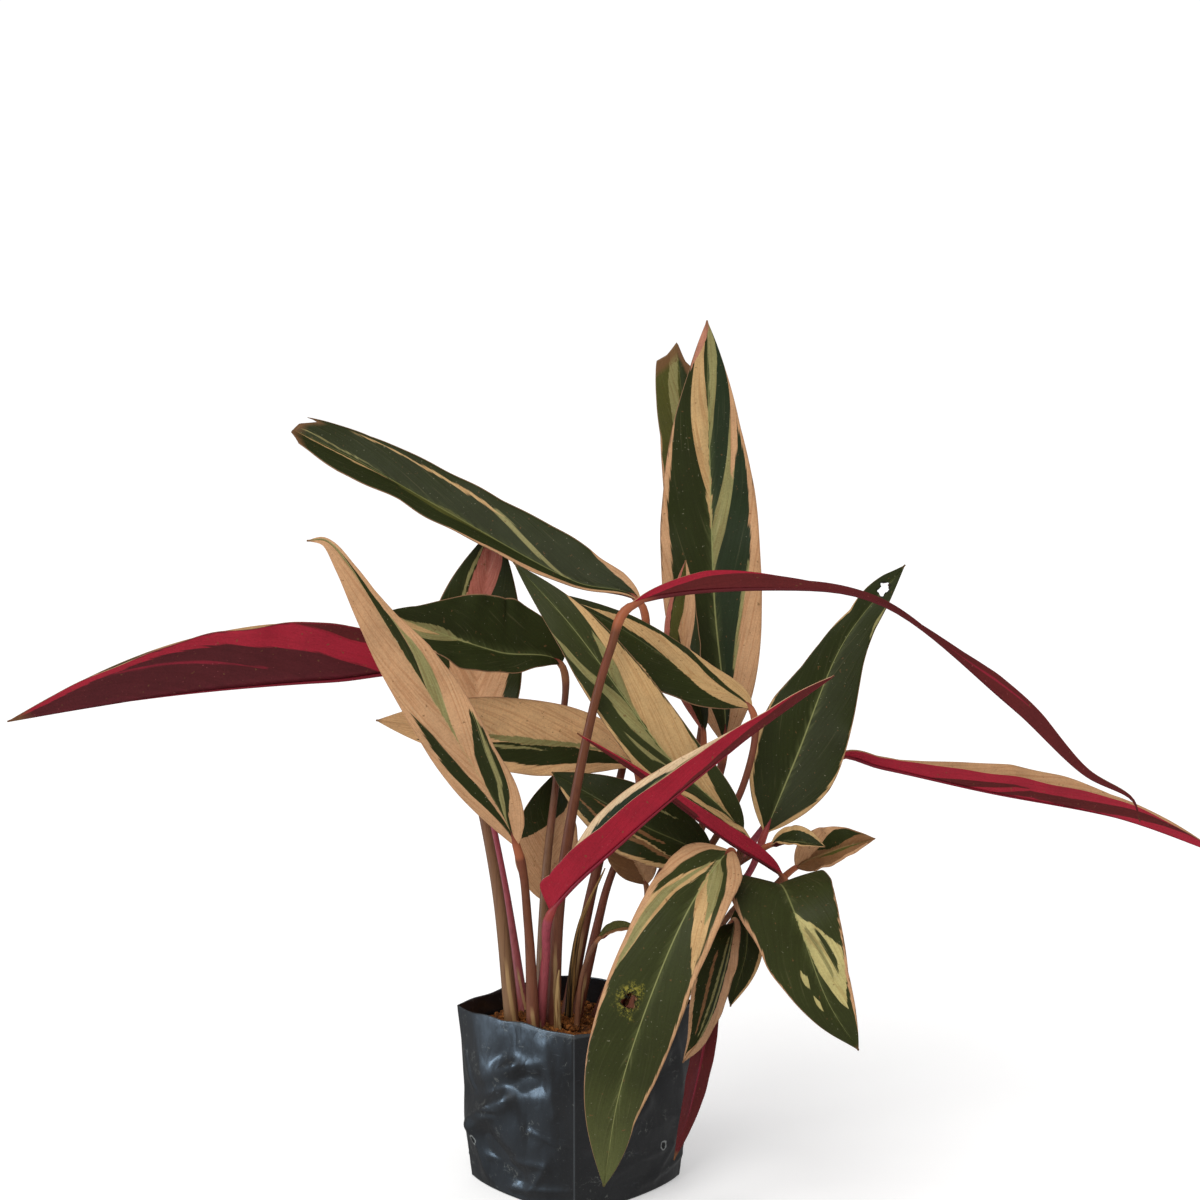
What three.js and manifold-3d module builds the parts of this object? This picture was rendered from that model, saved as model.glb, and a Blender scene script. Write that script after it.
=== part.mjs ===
// A variegated stromanthe growing in its nursery grow bag. Millimetres, +Z up.
// The origin is the middle of the bag's flat base, on the surface that it stands on.
import * as THREE from 'three';
import { mergeVertices } from 'three/addons/utils/BufferGeometryUtils.js';
import Module from 'manifold-3d';

const wasm = await Module();
wasm.setup();

// Grow bag: a square polythene sleeve standing with one corner to the front, so a corner lies on
// each axis. Its sides are almost flat at the rim and belly out where the soil presses.
const bag = {
  height: 107,
  film: 0.8,
  rimCorner: 72,
  bellyCorner: 69,
  baseCorner: 63,
  bellyHeight: 48,
  rimRoundness: 1.14,
  bellyRoundness: 1.42,
  baseRoundness: 1.3,
  sides: 48,
  rows: 6,
};

// Punched drain holes: one in each side, this far along it from its middle, anticlockwise from
// the side at the back right.
const drainHole = { radius: 2.6, height: 27, fromMiddle: [22, -26, -33, 19] };

// Potting soil: heaped round the stalks at the front left, lower towards the back right.
const soil = {
  gap: 0.4,
  low: 90,
  edge: 0.96,
  heap: 13,
  heapX: -22,
  heapY: -24,
  heapSpread: 34,
};

// Stalk feet stand in sockets in the soil, with a clearance all round.
const foot = { z: 84, clearance: 0.3 };

const blade = { thickness: 0.8, rows: 12, columns: 4, baseHalf: 1.6, tipHalf: 0.7 };
const stalkShape = { sides: 6, rows: 7, topGap: 0.6 };
const pathSteps = 20;

// Leaves. stalk: points up the stalk from its foot. midrib: points along the blade from its joint
// to its tip. half: widths left and right of the midrib, seen from the top face with the tip up.
// fold: degrees that each half is raised towards the top face. face: directions of the top face,
// evenly spread from the joint to the tip. widest and taper shape the outline, torn cuts a broken
// tip short, and trim gives what is left of each half at shares of the length.
const leaves = [
  {
    name: 'tall', girth: 3.2, half: [33, 31], fold: [6, 8], widest: 0.42, taper: 2.2,
    stalk: [[15, 14], [49, 20, 154], [80, 32, 214]],
    midrib: [[93, 42, 260], [87, 56, 350], [84, 66, 450], [82, 62, 525]],
    face: [[0, -1, 0.1], [0, -1, 0.1]],
    trim: [[0, 1, 1], [0.6, 1, 0.97], [0.75, 1, 0.9], [0.88, 0.95, 0.92], [1, 1, 1]],
  },
  {
    name: 'torn', girth: 2.6, half: [23, 24], fold: [8, 8], widest: 0.5, taper: 2.6, torn: 0.9,
    stalk: [[18, 30], [50, 54, 159], [77, 84, 244]],
    midrib: [[84, 98, 314], [74, 118, 424], [65, 118, 516]],
    face: [[-0.2, -1, 0], [-0.1, -1, 0.1]],
    trim: [[0, 1, 1], [0.5, 0.78, 1], [0.7, 0.74, 1], [0.82, 0.86, 1], [0.93, 1, 1], [1, 1, 1]],
  },
  {
    name: 'long_left', girth: 3, half: [31, 30], fold: [22, 20], widest: 0.5, taper: 3.2, torn: 0.93,
    stalk: [[-8, 8], [9, 10, 170], [33, 32, 268]],
    midrib: [[40, 34, 350], [-1, 48, 362], [-80, 80, 403], [-140, 98, 436], [-186, 105, 458]],
    face: [[0, -0.75, 0.65], [0, -0.6, 0.8]],
    trim: [[0, 0.6, 0.8], [0.06, 0.45, 1.2], [0.15, 0.35, 1.2], [0.3, 0.42, 1], [0.45, 0.5, 0.84],
      [0.65, 0.6, 0.8], [0.82, 0.95, 0.73], [1, 1, 0.9]],
  },
  {
    name: 'peach', girth: 3.2, half: [18, 18], fold: [10, 14], widest: 0.4, taper: 2.2,
    stalk: [[-24, -38], [-27, -48, 167]],
    midrib: [[-33, -62, 216], [-66, -95, 285], [-97, -110, 340], [-122, -112, 381],
      [-135, -106, 394], [-146, -102, 394]],
    face: [[-0.3, -1, 0.2], [0.2, -1, 0.3]],
    trim: [[0, 1, 1.2], [0.06, 1, 1.4], [0.14, 1, 1.25], [0.3, 1, 1], [0.5, 1, 1], [0.6, 1, 0.9],
      [0.7, 1, 0.58], [0.78, 1, 0.4], [0.86, 1, 0.36], [0.94, 1, 0.5], [1, 1, 1]],
  },
  {
    name: 'crimson_left', girth: 3.4, half: [38, 34], fold: [66, 84], widest: 0.4, taper: 1.8,
    stalk: [[-36, -24], [-47, -26, 189], [-65, -22, 269]],
    midrib: [[-80, -30, 311], [-140, -56, 312], [-216, -85, 308], [-267, -105, 302],
      [-308, -118, 296]],
    face: [[0, 0.05, 1], [0, 0.05, 1]],
  },
  {
    name: 'arching', girth: 3.4, half: [17, 15], fold: [68, 70], widest: 0.4, taper: 1.5,
    stalk: [[-14, -23], [-9, -36, 179], [9, -56, 286], [21, -60, 330]],
    midrib: [[32, -54, 354], [121, -30, 363], [181, -18, 353], [262, -4, 290], [309, 2, 247],
      [339, 5, 231], [344, 6, 218]],
    face: [[0, 0, 1], [0, 0.83, 0.56], [0, 0.97, 0.26], [0, 0.1, 1], [0, 0, 1]],
    trim: [[0, 0.8, 1], [0.13, 0.8, 1.1], [0.22, 0.5, 0.8], [0.3, 0.35, 0.45], [0.5, 0.35, 0.35],
      [0.58, 0.5, 0.6], [0.65, 0.8, 1], [0.75, 1, 1.15], [0.85, 1, 1], [1, 1, 1]],
  },
  {
    name: 'folded_front', girth: 3.2, half: [19, 27], fold: [84, 62], widest: 0.38, taper: 1.6,
    stalk: [[-23, -29], [-17, -44, 145]],
    midrib: [[-13, -62, 178], [29, -84, 225], [93, -98, 281], [146, -88, 318]],
    face: [[0.05, 0.1, 1], [0, 0.1, 1]],
    trim: [[0, 0.8, 1.6], [0.04, 1, 1.7], [0.08, 1.1, 1], [0.13, 1.1, 0.78], [0.28, 1.18, 0.55],
      [0.45, 1.05, 0.5], [0.6, 0.85, 0.5], [0.8, 0.6, 0.6], [1, 0.8, 1]],
  },
  {
    name: 'centre', girth: 2.8, half: [19, 20], fold: [8, 10], widest: 0.42, taper: 2,
    stalk: [[8, -8], [54, -8, 150], [92, -12, 187]],
    midrib: [[99, -22, 215], [55, -44, 265], [-1, -42, 341], [-36, -24, 378]],
    face: [[0.1, -1, 0.2], [-0.1, -1, 0.3]],
  },
  {
    name: 'centre_right', girth: 2.8, half: [24, 22], fold: [16, 14], widest: 0.45, taper: 2,
    stalk: [[18, 2], [62, -2, 171], [103, 0, 245]],
    midrib: [[107, 8, 287], [76, 10, 304], [27, 14, 336], [-17, 18, 358]],
    face: [[-0.1, -0.8, 0.6], [0, -0.8, 0.6]],
    trim: [[0, 1, 0.8], [0.3, 1, 0.6], [0.8, 1, 0.5], [1, 1, 0.5]],
  },
  {
    name: 'broad_left', girth: 2.8, half: [29, 34], fold: [20, 16], widest: 0.35, taper: 1.8,
    stalk: [[-22, -8], [-18, 4, 185], [-10, 24, 262]],
    midrib: [[-9, 14, 314], [-45, -8, 323], [-85, -32, 339], [-110, -44, 350]],
    face: [[-0.1, -0.7, 0.5], [-0.1, -0.8, 0.4]],
    trim: [[0, 0.5, 1.5], [0.08, 0.5, 1.12], [0.2, 0.52, 1.1], [0.36, 0.6, 1], [0.6, 0.9, 1],
      [0.86, 1, 0.85], [1, 1, 1]],
  },
  {
    name: 'upright_back', girth: 2.6, half: [32, 30], fold: [8, 8], widest: 0.5, taper: 1.8,
    stalk: [[-30, 14], [-43, 36, 163]],
    midrib: [[-58, 60, 238], [-64, 80, 316], [-52, 84, 396]],
    face: [[0, -1, 0.1], [0, -1, 0.3]],
  },
  {
    name: 'cream', girth: 2.8, half: [22, 24], fold: [8, 8], widest: 0.45, taper: 1.9,
    stalk: [[-3, -4], [17, 6, 169]],
    midrib: [[37, 22, 248], [-45, -2, 272], [-117, -30, 285]],
    face: [[0, -1, 0.25], [0, -1, 0.25]],
  },
  {
    name: 'broad_right', girth: 2.8, half: [30, 25], fold: [8, 8], widest: 0.36, taper: 1.8,
    stalk: [[17, -14], [64, -12, 146], [105, 2, 186]],
    midrib: [[116, 8, 211], [136, 22, 255], [168, 46, 325], [207, 56, 372]],
    face: [[-0.1, -1, 0.15], [0, -1, 0.2]],
    trim: [[0, 1, 1.1], [0.1, 1, 1.2], [0.2, 1, 1.2], [0.3, 1, 1.1], [0.42, 0.88, 1.03],
      [0.54, 0.65, 0.96], [0.63, 0.56, 0.9], [0.77, 0.5, 0.86], [0.86, 0.85, 0.95],
      [0.93, 1.1, 0.9], [1, 1, 0.8]],
  },
  {
    name: 'hanging_front', girth: 3, half: [28, 26], fold: [6, 6], widest: 0.48, taper: 2.2,
    stalk: [[27, -24], [46, -28, 140], [91, -48, 198]],
    midrib: [[90, -64, 214], [65, -112, 193], [45, -126, 152], [26, -130, 95], [17, -122, 38]],
    face: [[0, -0.6, 0.8], [0, -1, -0.05]],
    trim: [[0, 1, 2], [0.04, 1, 2.2], [0.12, 1.1, 1.55], [0.2, 0.9, 1.22], [0.3, 0.78, 1.05],
      [0.4, 0.72, 0.98], [0.7, 0.73, 1], [0.82, 0.67, 1], [1, 1, 1]],
  },
  {
    name: 'hanging_right', girth: 3, half: [36, 26], fold: [10, 16], widest: 0.36, taper: 1.7,
    stalk: [[38, -6], [46, -8, 118], [84, -8, 134], [110, -24, 152]],
    midrib: [[115, -34, 177], [119, -62, 194], [125, -90, 183], [142, -102, 137], [160, -100, 108]],
    face: [[0, -0.2, 1], [0, -1, 0.05]],
    trim: [[0, 1, 1], [0.2, 0.85, 1.15], [0.36, 0.72, 1.38], [0.5, 0.68, 1.3], [0.7, 0.72, 1.2],
      [0.85, 0.9, 1.1], [1, 1, 1]],
  },
  {
    name: 'narrow_folded', girth: 2.4, half: [14, 12], fold: [80, 50], widest: 0.3, taper: 1.7,
    stalk: [[42, -16], [48, -18, 118], [84, -22, 142], [126, -22, 180]],
    midrib: [[123, -30, 192], [88, -48, 218], [32, -62, 261], [2, -70, 283]],
    face: [[-0.3, 0.1, 1], [0, 0, 1]],
    trim: [[0, 0.7, 0.7], [0.1, 0.6, 0.9], [0.2, 0.6, 1.7], [0.5, 0.5, 1.2], [0.8, 0.5, 0.7],
      [1, 0.6, 0.6]],
  },
  {
    name: 'hanging_peach', girth: 2.2, half: [11, 14], fold: [26, 26], widest: 0.45, taper: 1.8,
    stalk: [[35, -27], [42, -32, 120], [74, -42, 140]],
    midrib: [[92, -60, 172], [89, -76, 166], [72, -88, 113], [62, -87, 97]],
    face: [[-0.4, -1, 0.1], [-0.6, -0.8, -0.3]],
  },
  {
    name: 'hanging_dark', girth: 2.2, half: [12, 14], fold: [20, 20], widest: 0.45, taper: 1.9,
    stalk: [[48, 2], [54, 0, 120], [78, -4, 142]],
    midrib: [[99, -28, 174], [101, -46, 153], [91, -54, 120]],
    face: [[0.2, -1, 0], [0, -1, -0.2]],
    trim: [[0, 0.8, 1], [1, 0.8, 1]],
  },
  {
    name: 'hanging_red', girth: 2, half: [9, 9], fold: [30, 30], widest: 0.4, taper: 2,
    stalk: [[50, -8], [56, -12, 116], [72, -24, 122]],
    midrib: [[81, -38, 126], [75, -62, 97], [67, -68, 63], [58, -64, 32]],
    face: [[0.2, 0.9, 0.3], [0.2, 1, 0]],
  },
  {
    name: 'small_right', girth: 2.2, half: [10, 9], fold: [30, 30], widest: 0.45, taper: 1.9,
    stalk: [[32, 6], [66, 8, 160]],
    midrib: [[118, -14, 208], [132, -26, 212], [148, -32, 210]],
    face: [[0, -0.6, 0.8], [0, -0.6, 0.8]],
  },
  {
    name: 'side_right', girth: 2.4, half: [16, 12], fold: [40, 20], widest: 0.42, taper: 1.8,
    stalk: [[43, 12], [50, 13, 120], [92, 10, 147]],
    midrib: [[134, 0, 191], [156, -12, 204], [179, -22, 213]],
    face: [[-0.2, -0.8, 0.6], [-0.2, -0.8, 0.6]],
  },
  {
    name: 'narrow_upright', girth: 2.4, half: [13, 13], fold: [30, 30], widest: 0.5, taper: 2,
    stalk: [[9, 22], [40, 18, 158], [73, 22, 230]],
    midrib: [[79, 26, 270], [67, 34, 321], [68, 36, 376]],
    face: [[-0.2, -1, 0], [-0.2, -1, 0.1]],
  },
  {
    name: 'striped_low', girth: 2.6, half: [24, 21], fold: [12, 10], widest: 0.45, taper: 1.8,
    stalk: [[26, -17], [60, -22, 147]],
    midrib: [[80, -18, 196], [39, -22, 222], [-14, -10, 251]],
    face: [[0, -0.9, 0.5], [0, -0.9, 0.4]],
  },
  {
    name: 'low_brown', girth: 2.2, half: [14, 14], fold: [10, 10], widest: 0.35, taper: 1.9,
    stalk: [[30, 14], [41, 10, 146]],
    midrib: [[43, 2, 180], [30, 0, 204], [6, 4, 227]],
    face: [[0, -1, 0.3], [0, -1, 0.4]],
  },
  {
    name: 'low_back', girth: 2.4, half: [20, 20], fold: [10, 10], widest: 0.45, taper: 1.9,
    stalk: [[-12, 16], [-16, 12, 137]],
    midrib: [[-18, 12, 167], [-18, 20, 204], [-14, 30, 243]],
    face: [[0, -1, 0.2], [0, -1, 0.3]],
  },
  {
    name: 'long_right', girth: 3, half: [17, 19], fold: [70, 48], widest: 0.55, taper: 1.9,
    stalk: [[32, 24], [40, 30, 120], [91, 46, 173]],
    midrib: [[165, 60, 249], [195, 62, 243], [261, 66, 227], [346, 60, 210], [410, 50, 188]],
    face: [[0, 0.15, 1], [0, 0.1, 1]],
    trim: [[0, 0.7, 0.7], [0.06, 0.5, 0.5], [0.14, 0.55, 0.55], [0.22, 0.78, 0.72],
      [0.32, 1, 0.82], [0.45, 1.25, 0.88], [0.58, 1.15, 0.9], [0.7, 0.95, 0.9], [0.85, 1, 1],
      [1, 1, 1]],
  },
  {
    name: 'youngest', girth: 1.6, half: [5, 5], fold: [20, 20], widest: 0.4, taper: 1.8,
    stalk: [[0, -26], [5, -30, 135]],
    midrib: [[15, -34, 156], [27, -42, 164], [38, -44, 164]],
    face: [[0, -0.6, 0.8], [0, -0.6, 0.8]],
  },
];

// Spears among the stalks: the furled new leaf and the husks that wrap the stalks' feet. Each is
// fattest at its foot and drawn to a point.
const spears = [
  {
    name: 'furled_leaf', girth: 2.6, drawn: 0.85, colour: 0x7d5a32,
    line: [[-6, -12], [3, -22, 160], [18, -26, 196]],
  },
  {
    name: 'dry_sheath', girth: 2.6, drawn: 0.8, colour: 0xa08458,
    line: [[-10, -34], [-10, -37, 126], [-9, -39, 138]],
  },
  {
    name: 'pink_sheath', girth: 2.8, drawn: 0.8, colour: 0x8a4450,
    line: [[-13, -13], [-13, -15, 128], [-11, -16, 143]],
  },
];

const colours = { film: 0x2d3237, soil: 0x6e3e19, topFace: 0x2c3a22, stalk: 0x784640 };

const group = new THREE.Group();

function add(name, geometry, colour, roughness) {
  const material = new THREE.MeshStandardMaterial({ color: colour, roughness, metalness: 0 });
  const mesh = new THREE.Mesh(geometry, material);
  mesh.name = name;
  group.add(mesh);
}

function toGeometry(points, indices) {
  const geometry = new THREE.BufferGeometry();
  geometry.setAttribute('position', new THREE.Float32BufferAttribute(points.flat(), 3));
  geometry.setIndex(indices);
  return geometry;
}

function toSolid(geometry) {
  const bare = geometry.clone();
  bare.deleteAttribute('normal');
  bare.deleteAttribute('uv');
  const merged = mergeVertices(bare);
  return new wasm.Manifold(new wasm.Mesh({
    numProp: 3,
    vertProperties: new Float32Array(merged.attributes.position.array),
    triVerts: new Uint32Array(merged.index.array),
  }));
}

function fromSolid(solid) {
  const mesh = solid.getMesh();
  const geometry = new THREE.BufferGeometry();
  geometry.setAttribute('position', new THREE.BufferAttribute(mesh.vertProperties, 3));
  geometry.setIndex(new THREE.BufferAttribute(mesh.triVerts, 1));
  return geometry;
}

// A closed solid through rings of equally many points, with a flat cap at each end.
function loft(rings) {
  const count = rings[0].length;
  const indices = [];
  for (let row = 0; row + 1 < rings.length; row += 1) {
    for (let i = 0; i < count; i += 1) {
      const next = (i + 1) % count;
      const low = row * count;
      const high = low + count;
      indices.push(low + i, low + next, high + next, low + i, high + next, high + i);
    }
  }
  const top = (rings.length - 1) * count;
  for (let i = 1; i + 1 < count; i += 1) {
    indices.push(0, i + 1, i, top, top + i, top + i + 1);
  }
  return toGeometry(rings.flat(), indices);
}

// A closed thin solid through rings that run over its upper skin and back under it. Both skins
// are split along the same diagonals, so that a twisted blade keeps its thickness.
function skinLoft(rings) {
  const count = rings[0].length;
  const top = (rings.length - 1) * count;
  const indices = [];
  for (let row = 0; row + 1 < rings.length; row += 1) {
    for (let i = 0; i < count; i += 1) {
      const [low, next] = [row * count + i, row * count + (i + 1) % count];
      const [high, highNext] = [low + count, next + count];
      if (i < count / 2) indices.push(low, next, highNext, low, highNext, high);
      else indices.push(low, next, high, next, highNext, high);
    }
  }
  for (let i = 0; i + 1 < count / 2; i += 1) {
    const [under, underNext] = [count - 1 - i, count - 2 - i];
    indices.push(i, under, underNext, i, underNext, i + 1);
    indices.push(top + i, top + underNext, top + under, top + i, top + i + 1, top + underNext);
  }
  return toGeometry(rings.flat(), indices);
}

// Points evenly spaced along a path of short steps, each with its direction.
function evenly(path, count) {
  const lengths = [0];
  for (let i = 1; i < path.length; i += 1) {
    lengths.push(lengths[i - 1] + path[i].distanceTo(path[i - 1]));
  }
  const total = lengths[lengths.length - 1];
  const stations = [];
  let i = 1;
  for (let n = 0; n <= count; n += 1) {
    const wanted = total * n / count;
    while (i + 1 < path.length && lengths[i] < wanted) i += 1;
    const share = (wanted - lengths[i - 1]) / (lengths[i] - lengths[i - 1]);
    stations.push({
      point: path[i - 1].clone().lerp(path[i], share),
      along: path[i].clone().sub(path[i - 1]).normalize(),
    });
  }
  return stations;
}

// Rings of a round tube along a path. The radius is a function of the share of the way along it.
function tubeRings(path, radius, rows, sides) {
  let across = new THREE.Vector3(1, 0, 0);
  return evenly(path, rows).map(({ point, along }, row) => {
    const other = along.clone().cross(across).normalize();
    across = other.clone().cross(along);
    const r = radius(row / rows);
    return Array.from({ length: sides }, (_, i) => {
      const angle = 2 * Math.PI * i / sides;
      const place = point.clone();
      place.addScaledVector(across, r * Math.cos(angle));
      place.addScaledVector(other, r * Math.sin(angle));
      return place.toArray();
    });
  });
}

// Adds a round piece that grows out of the soil, and gives the socket that it stands in.
function addRooted(name, path, radius, shape, colour, roughness) {
  const { rows, sides } = shape;
  add(name, loft(tubeRings(path, radius, rows, sides)), colour, roughness);
  const rings = tubeRings(path, (share) => radius(share) + foot.clearance, rows, sides);
  const floor = rings[0].map(([x, y, z]) => [x, y, z - foot.clearance]);
  return loft([floor, ...rings]);
}

function smoothLine(points) {
  const vectors = points.map(([x, y, z = foot.z]) => new THREE.Vector3(x, y, z));
  return new THREE.CatmullRomCurve3(vectors).getPoints(pathSteps * (vectors.length - 1));
}

// Drops the last stretch of a path, so that it ends a gap short of its end.
function shortened(path, gap) {
  const end = path[path.length - 1];
  const kept = path.filter((point) => point.distanceTo(end) > gap * 2);
  const last = kept[kept.length - 1];
  const left = last.distanceTo(end) - gap;
  kept.push(last.clone().addScaledVector(end.clone().sub(last).normalize(), left));
  return kept;
}

// Share of a blade half that is kept at a share v of its length.
function trimmed(v, side, trim) {
  if (!trim) return 1;
  const next = Math.max(trim.findIndex(([share]) => share >= v), 1);
  const [before, after] = [trim[next - 1], trim[next]];
  const t = (v - before[0]) / (after[0] - before[0]);
  return THREE.MathUtils.lerp(before[side + 1], after[side + 1], t);
}

// Outline of a blade: half width at a share v of its length, as a share of the widest.
function outline(v, { widest, taper, torn = 1 }) {
  const place = v * torn;
  if (place < widest) return (1 - ((widest - place) / widest) ** 2.3) ** 0.8;
  return 1 - ((place - widest) / (1 - widest)) ** taper;
}

// A blade: a thin closed sheet with its two halves raised about the midrib, a narrow stretch less
// than its fold, so that its skins stay clear of each other.
function bladeGeometry(path, leaf) {
  const faces = leaf.face.map((direction) => new THREE.Vector3(...direction).normalize());
  const rings = evenly(path, blade.rows).map(({ point, along }, row) => {
    const v = row / blade.rows;
    const turn = Math.min(Math.floor(v * (faces.length - 1)), faces.length - 2);
    const facing = faces[turn].clone().lerp(faces[turn + 1], v * (faces.length - 1) - turn);
    const right = along.clone().cross(facing).normalize();
    const normal = right.clone().cross(along);
    const least = THREE.MathUtils.lerp(blade.baseHalf, blade.tipHalf, v);
    const upper = [];
    const lower = [];
    for (let column = -blade.columns / 2; column <= blade.columns / 2; column += 1) {
      const side = column < 0 ? 0 : 1;
      const u = 2 * Math.abs(column) / blade.columns;
      const kept = trimmed(v, side, leaf.trim);
      const edge = Math.max(leaf.half[side] * outline(v, leaf) * kept, least);
      const steepest = Math.atan(0.85 * edge / blade.thickness);
      const raise = Math.min(THREE.MathUtils.degToRad(leaf.fold[side]), steepest);
      const reach = u * edge;
      const sign = side === 0 ? -1 : 1;
      const place = point.clone();
      place.addScaledVector(right, sign * reach * Math.cos(raise));
      place.addScaledVector(normal, reach * Math.sin(raise));
      const skin = normal.clone().multiplyScalar(column === 0 ? 1 : Math.cos(raise));
      if (column !== 0) skin.addScaledVector(right, -sign * Math.sin(raise));
      const half = blade.thickness / 2;
      upper.push(place.clone().addScaledVector(skin, half).toArray());
      lower.push(place.clone().addScaledVector(skin, -half).toArray());
    }
    return upper.concat(lower.reverse());
  });
  return skinLoft(rings);
}

function addLeaf(leaf) {
  const path = smoothLine([...leaf.stalk, ...leaf.midrib]);
  const joint = pathSteps * leaf.stalk.length;
  const stalkPath = shortened(path.slice(0, joint + 1), stalkShape.topGap);
  const radius = (share) => leaf.girth * (1 - 0.3 * share);
  add(`${leaf.name}_blade`, bladeGeometry(path.slice(joint), leaf), colours.topFace, 0.45);
  return addRooted(`${leaf.name}_stalk`, stalkPath, radius, stalkShape, colours.stalk, 0.5);
}

// The bag's plan at a height: a square with rounded sides and its corners on the axes.
function bagShape(z) {
  const share = z < bag.bellyHeight
    ? Math.sin(z / bag.bellyHeight * Math.PI / 2)
    : Math.cos((z - bag.bellyHeight) / (bag.height - bag.bellyHeight) * Math.PI / 2);
  const end = z < bag.bellyHeight
    ? [bag.baseCorner, bag.baseRoundness]
    : [bag.rimCorner, bag.rimRoundness];
  return {
    corner: THREE.MathUtils.lerp(end[0], bag.bellyCorner, share),
    roundness: THREE.MathUtils.lerp(end[1], bag.bellyRoundness, share),
  };
}

function bagRow(row, inset) {
  const z = bag.height * row / bag.rows;
  const { corner, roundness } = bagShape(z);
  return Array.from({ length: bag.sides }, (_, i) => {
    const angle = 2 * Math.PI * i / bag.sides;
    const c = Math.abs(Math.cos(angle));
    const s = Math.abs(Math.sin(angle));
    const r = (corner - inset) / (c ** roundness + s ** roundness) ** (1 / roundness);
    return [r * Math.cos(angle), r * Math.sin(angle), z];
  });
}

// A ring of the bag's wall at any height, between the two rows next to it.
function bagRing(z, inset) {
  const place = z / bag.height * bag.rows;
  const row = Math.min(Math.floor(place), bag.rows - 1);
  const high = bagRow(row + 1, inset);
  return bagRow(row, inset).map((low, i) => low.map((value, axis) => (
    THREE.MathUtils.lerp(value, high[i][axis], place - row))));
}

// Rings from a floor height up to a limit, at the heights of the rows.
function bagRings(floor, limit, inset) {
  const rows = Array.from({ length: bag.rows }, (_, i) => bag.height * (i + 1) / bag.rows);
  return [floor, ...rows.filter((z) => z <= limit)].map((z) => bagRing(z, inset));
}

function bagGeometry() {
  const outer = bagRings(0, bag.height, 0);
  const inner = bagRings(bag.film, bag.height, bag.film);
  // The inner skin stands a little over the rim, so that the cut leaves the mouth open.
  inner[bag.rows] = inner[bag.rows].map(([x, y]) => [x, y, bag.height + 1]);
  let solid = toSolid(loft(outer)).subtract(toSolid(loft(inner)));
  const { radius, height, fromMiddle } = drainHole;
  for (const [side, slide] of fromMiddle.entries()) {
    const punch = new THREE.CylinderGeometry(radius, radius, bag.rimCorner, 8);
    punch.rotateZ(Math.PI / 2);
    punch.translate(bag.rimCorner / 2 + 10, 0, 0);
    punch.rotateZ(Math.PI / 4 + side * Math.PI / 2);
    const along = Math.PI * 3 / 4 + side * Math.PI / 2;
    punch.translate(slide * Math.cos(along), slide * Math.sin(along), height);
    solid = solid.subtract(toSolid(punch));
  }
  return fromSolid(solid);
}

function soilTop(x, y) {
  const away = Math.hypot(x - soil.heapX, y - soil.heapY) / soil.heapSpread;
  const crumb = Math.sin(x * 0.31 + 1) * Math.cos(y * 0.27);
  return soil.low + soil.heap * Math.exp(-(away ** 2) / 2) + crumb;
}

function soilGeometry(sockets) {
  const inset = bag.film + soil.gap;
  const edge = bagRing(soil.low, inset);
  const rings = [...bagRings(inset, soil.low - 4, inset), edge];
  for (const share of [soil.edge, 0.72, 0.42, 0.12]) {
    rings.push(edge.map(([x, y]) => [x * share, y * share, soilTop(x * share, y * share)]));
  }
  let solid = toSolid(loft(rings));
  for (const socket of sockets) solid = solid.subtract(toSolid(socket));
  return fromSolid(solid);
}

const sockets = leaves.map(addLeaf);

for (const { name, line, girth, drawn, colour } of spears) {
  const radius = (share) => girth * (1 - drawn * share ** 2);
  sockets.push(addRooted(name, smoothLine(line), radius, stalkShape, colour, 0.6));
}

add('grow_bag', bagGeometry(), colours.film, 0.35);
add('potting_soil', soilGeometry(sockets), colours.soil, 0.95);

export default group;
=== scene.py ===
import math
import bpy
import numpy as np
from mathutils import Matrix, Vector, noise


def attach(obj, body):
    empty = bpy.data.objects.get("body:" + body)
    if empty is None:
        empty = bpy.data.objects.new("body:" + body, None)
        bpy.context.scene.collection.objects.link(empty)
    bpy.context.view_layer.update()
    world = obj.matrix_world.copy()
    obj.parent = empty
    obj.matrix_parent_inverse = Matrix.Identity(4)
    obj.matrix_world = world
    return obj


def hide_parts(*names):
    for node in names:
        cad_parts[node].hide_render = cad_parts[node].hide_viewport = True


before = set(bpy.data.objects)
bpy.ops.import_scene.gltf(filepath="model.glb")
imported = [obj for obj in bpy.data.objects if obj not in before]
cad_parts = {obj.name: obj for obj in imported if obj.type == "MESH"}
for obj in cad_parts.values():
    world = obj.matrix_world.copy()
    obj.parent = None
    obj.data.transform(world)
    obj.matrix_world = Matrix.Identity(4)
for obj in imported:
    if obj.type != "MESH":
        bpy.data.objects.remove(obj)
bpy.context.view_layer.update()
bpy.ops.object.select_all(action="DESELECT")


# ---- Grow bag ---------------------------------------------------------------------------------
# A nursery bag of thin black polythene film, heat-sealed across the bottom and folded square. The
# soil presses its sides out, and the film is left with the creases of its folding and filling.

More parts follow.
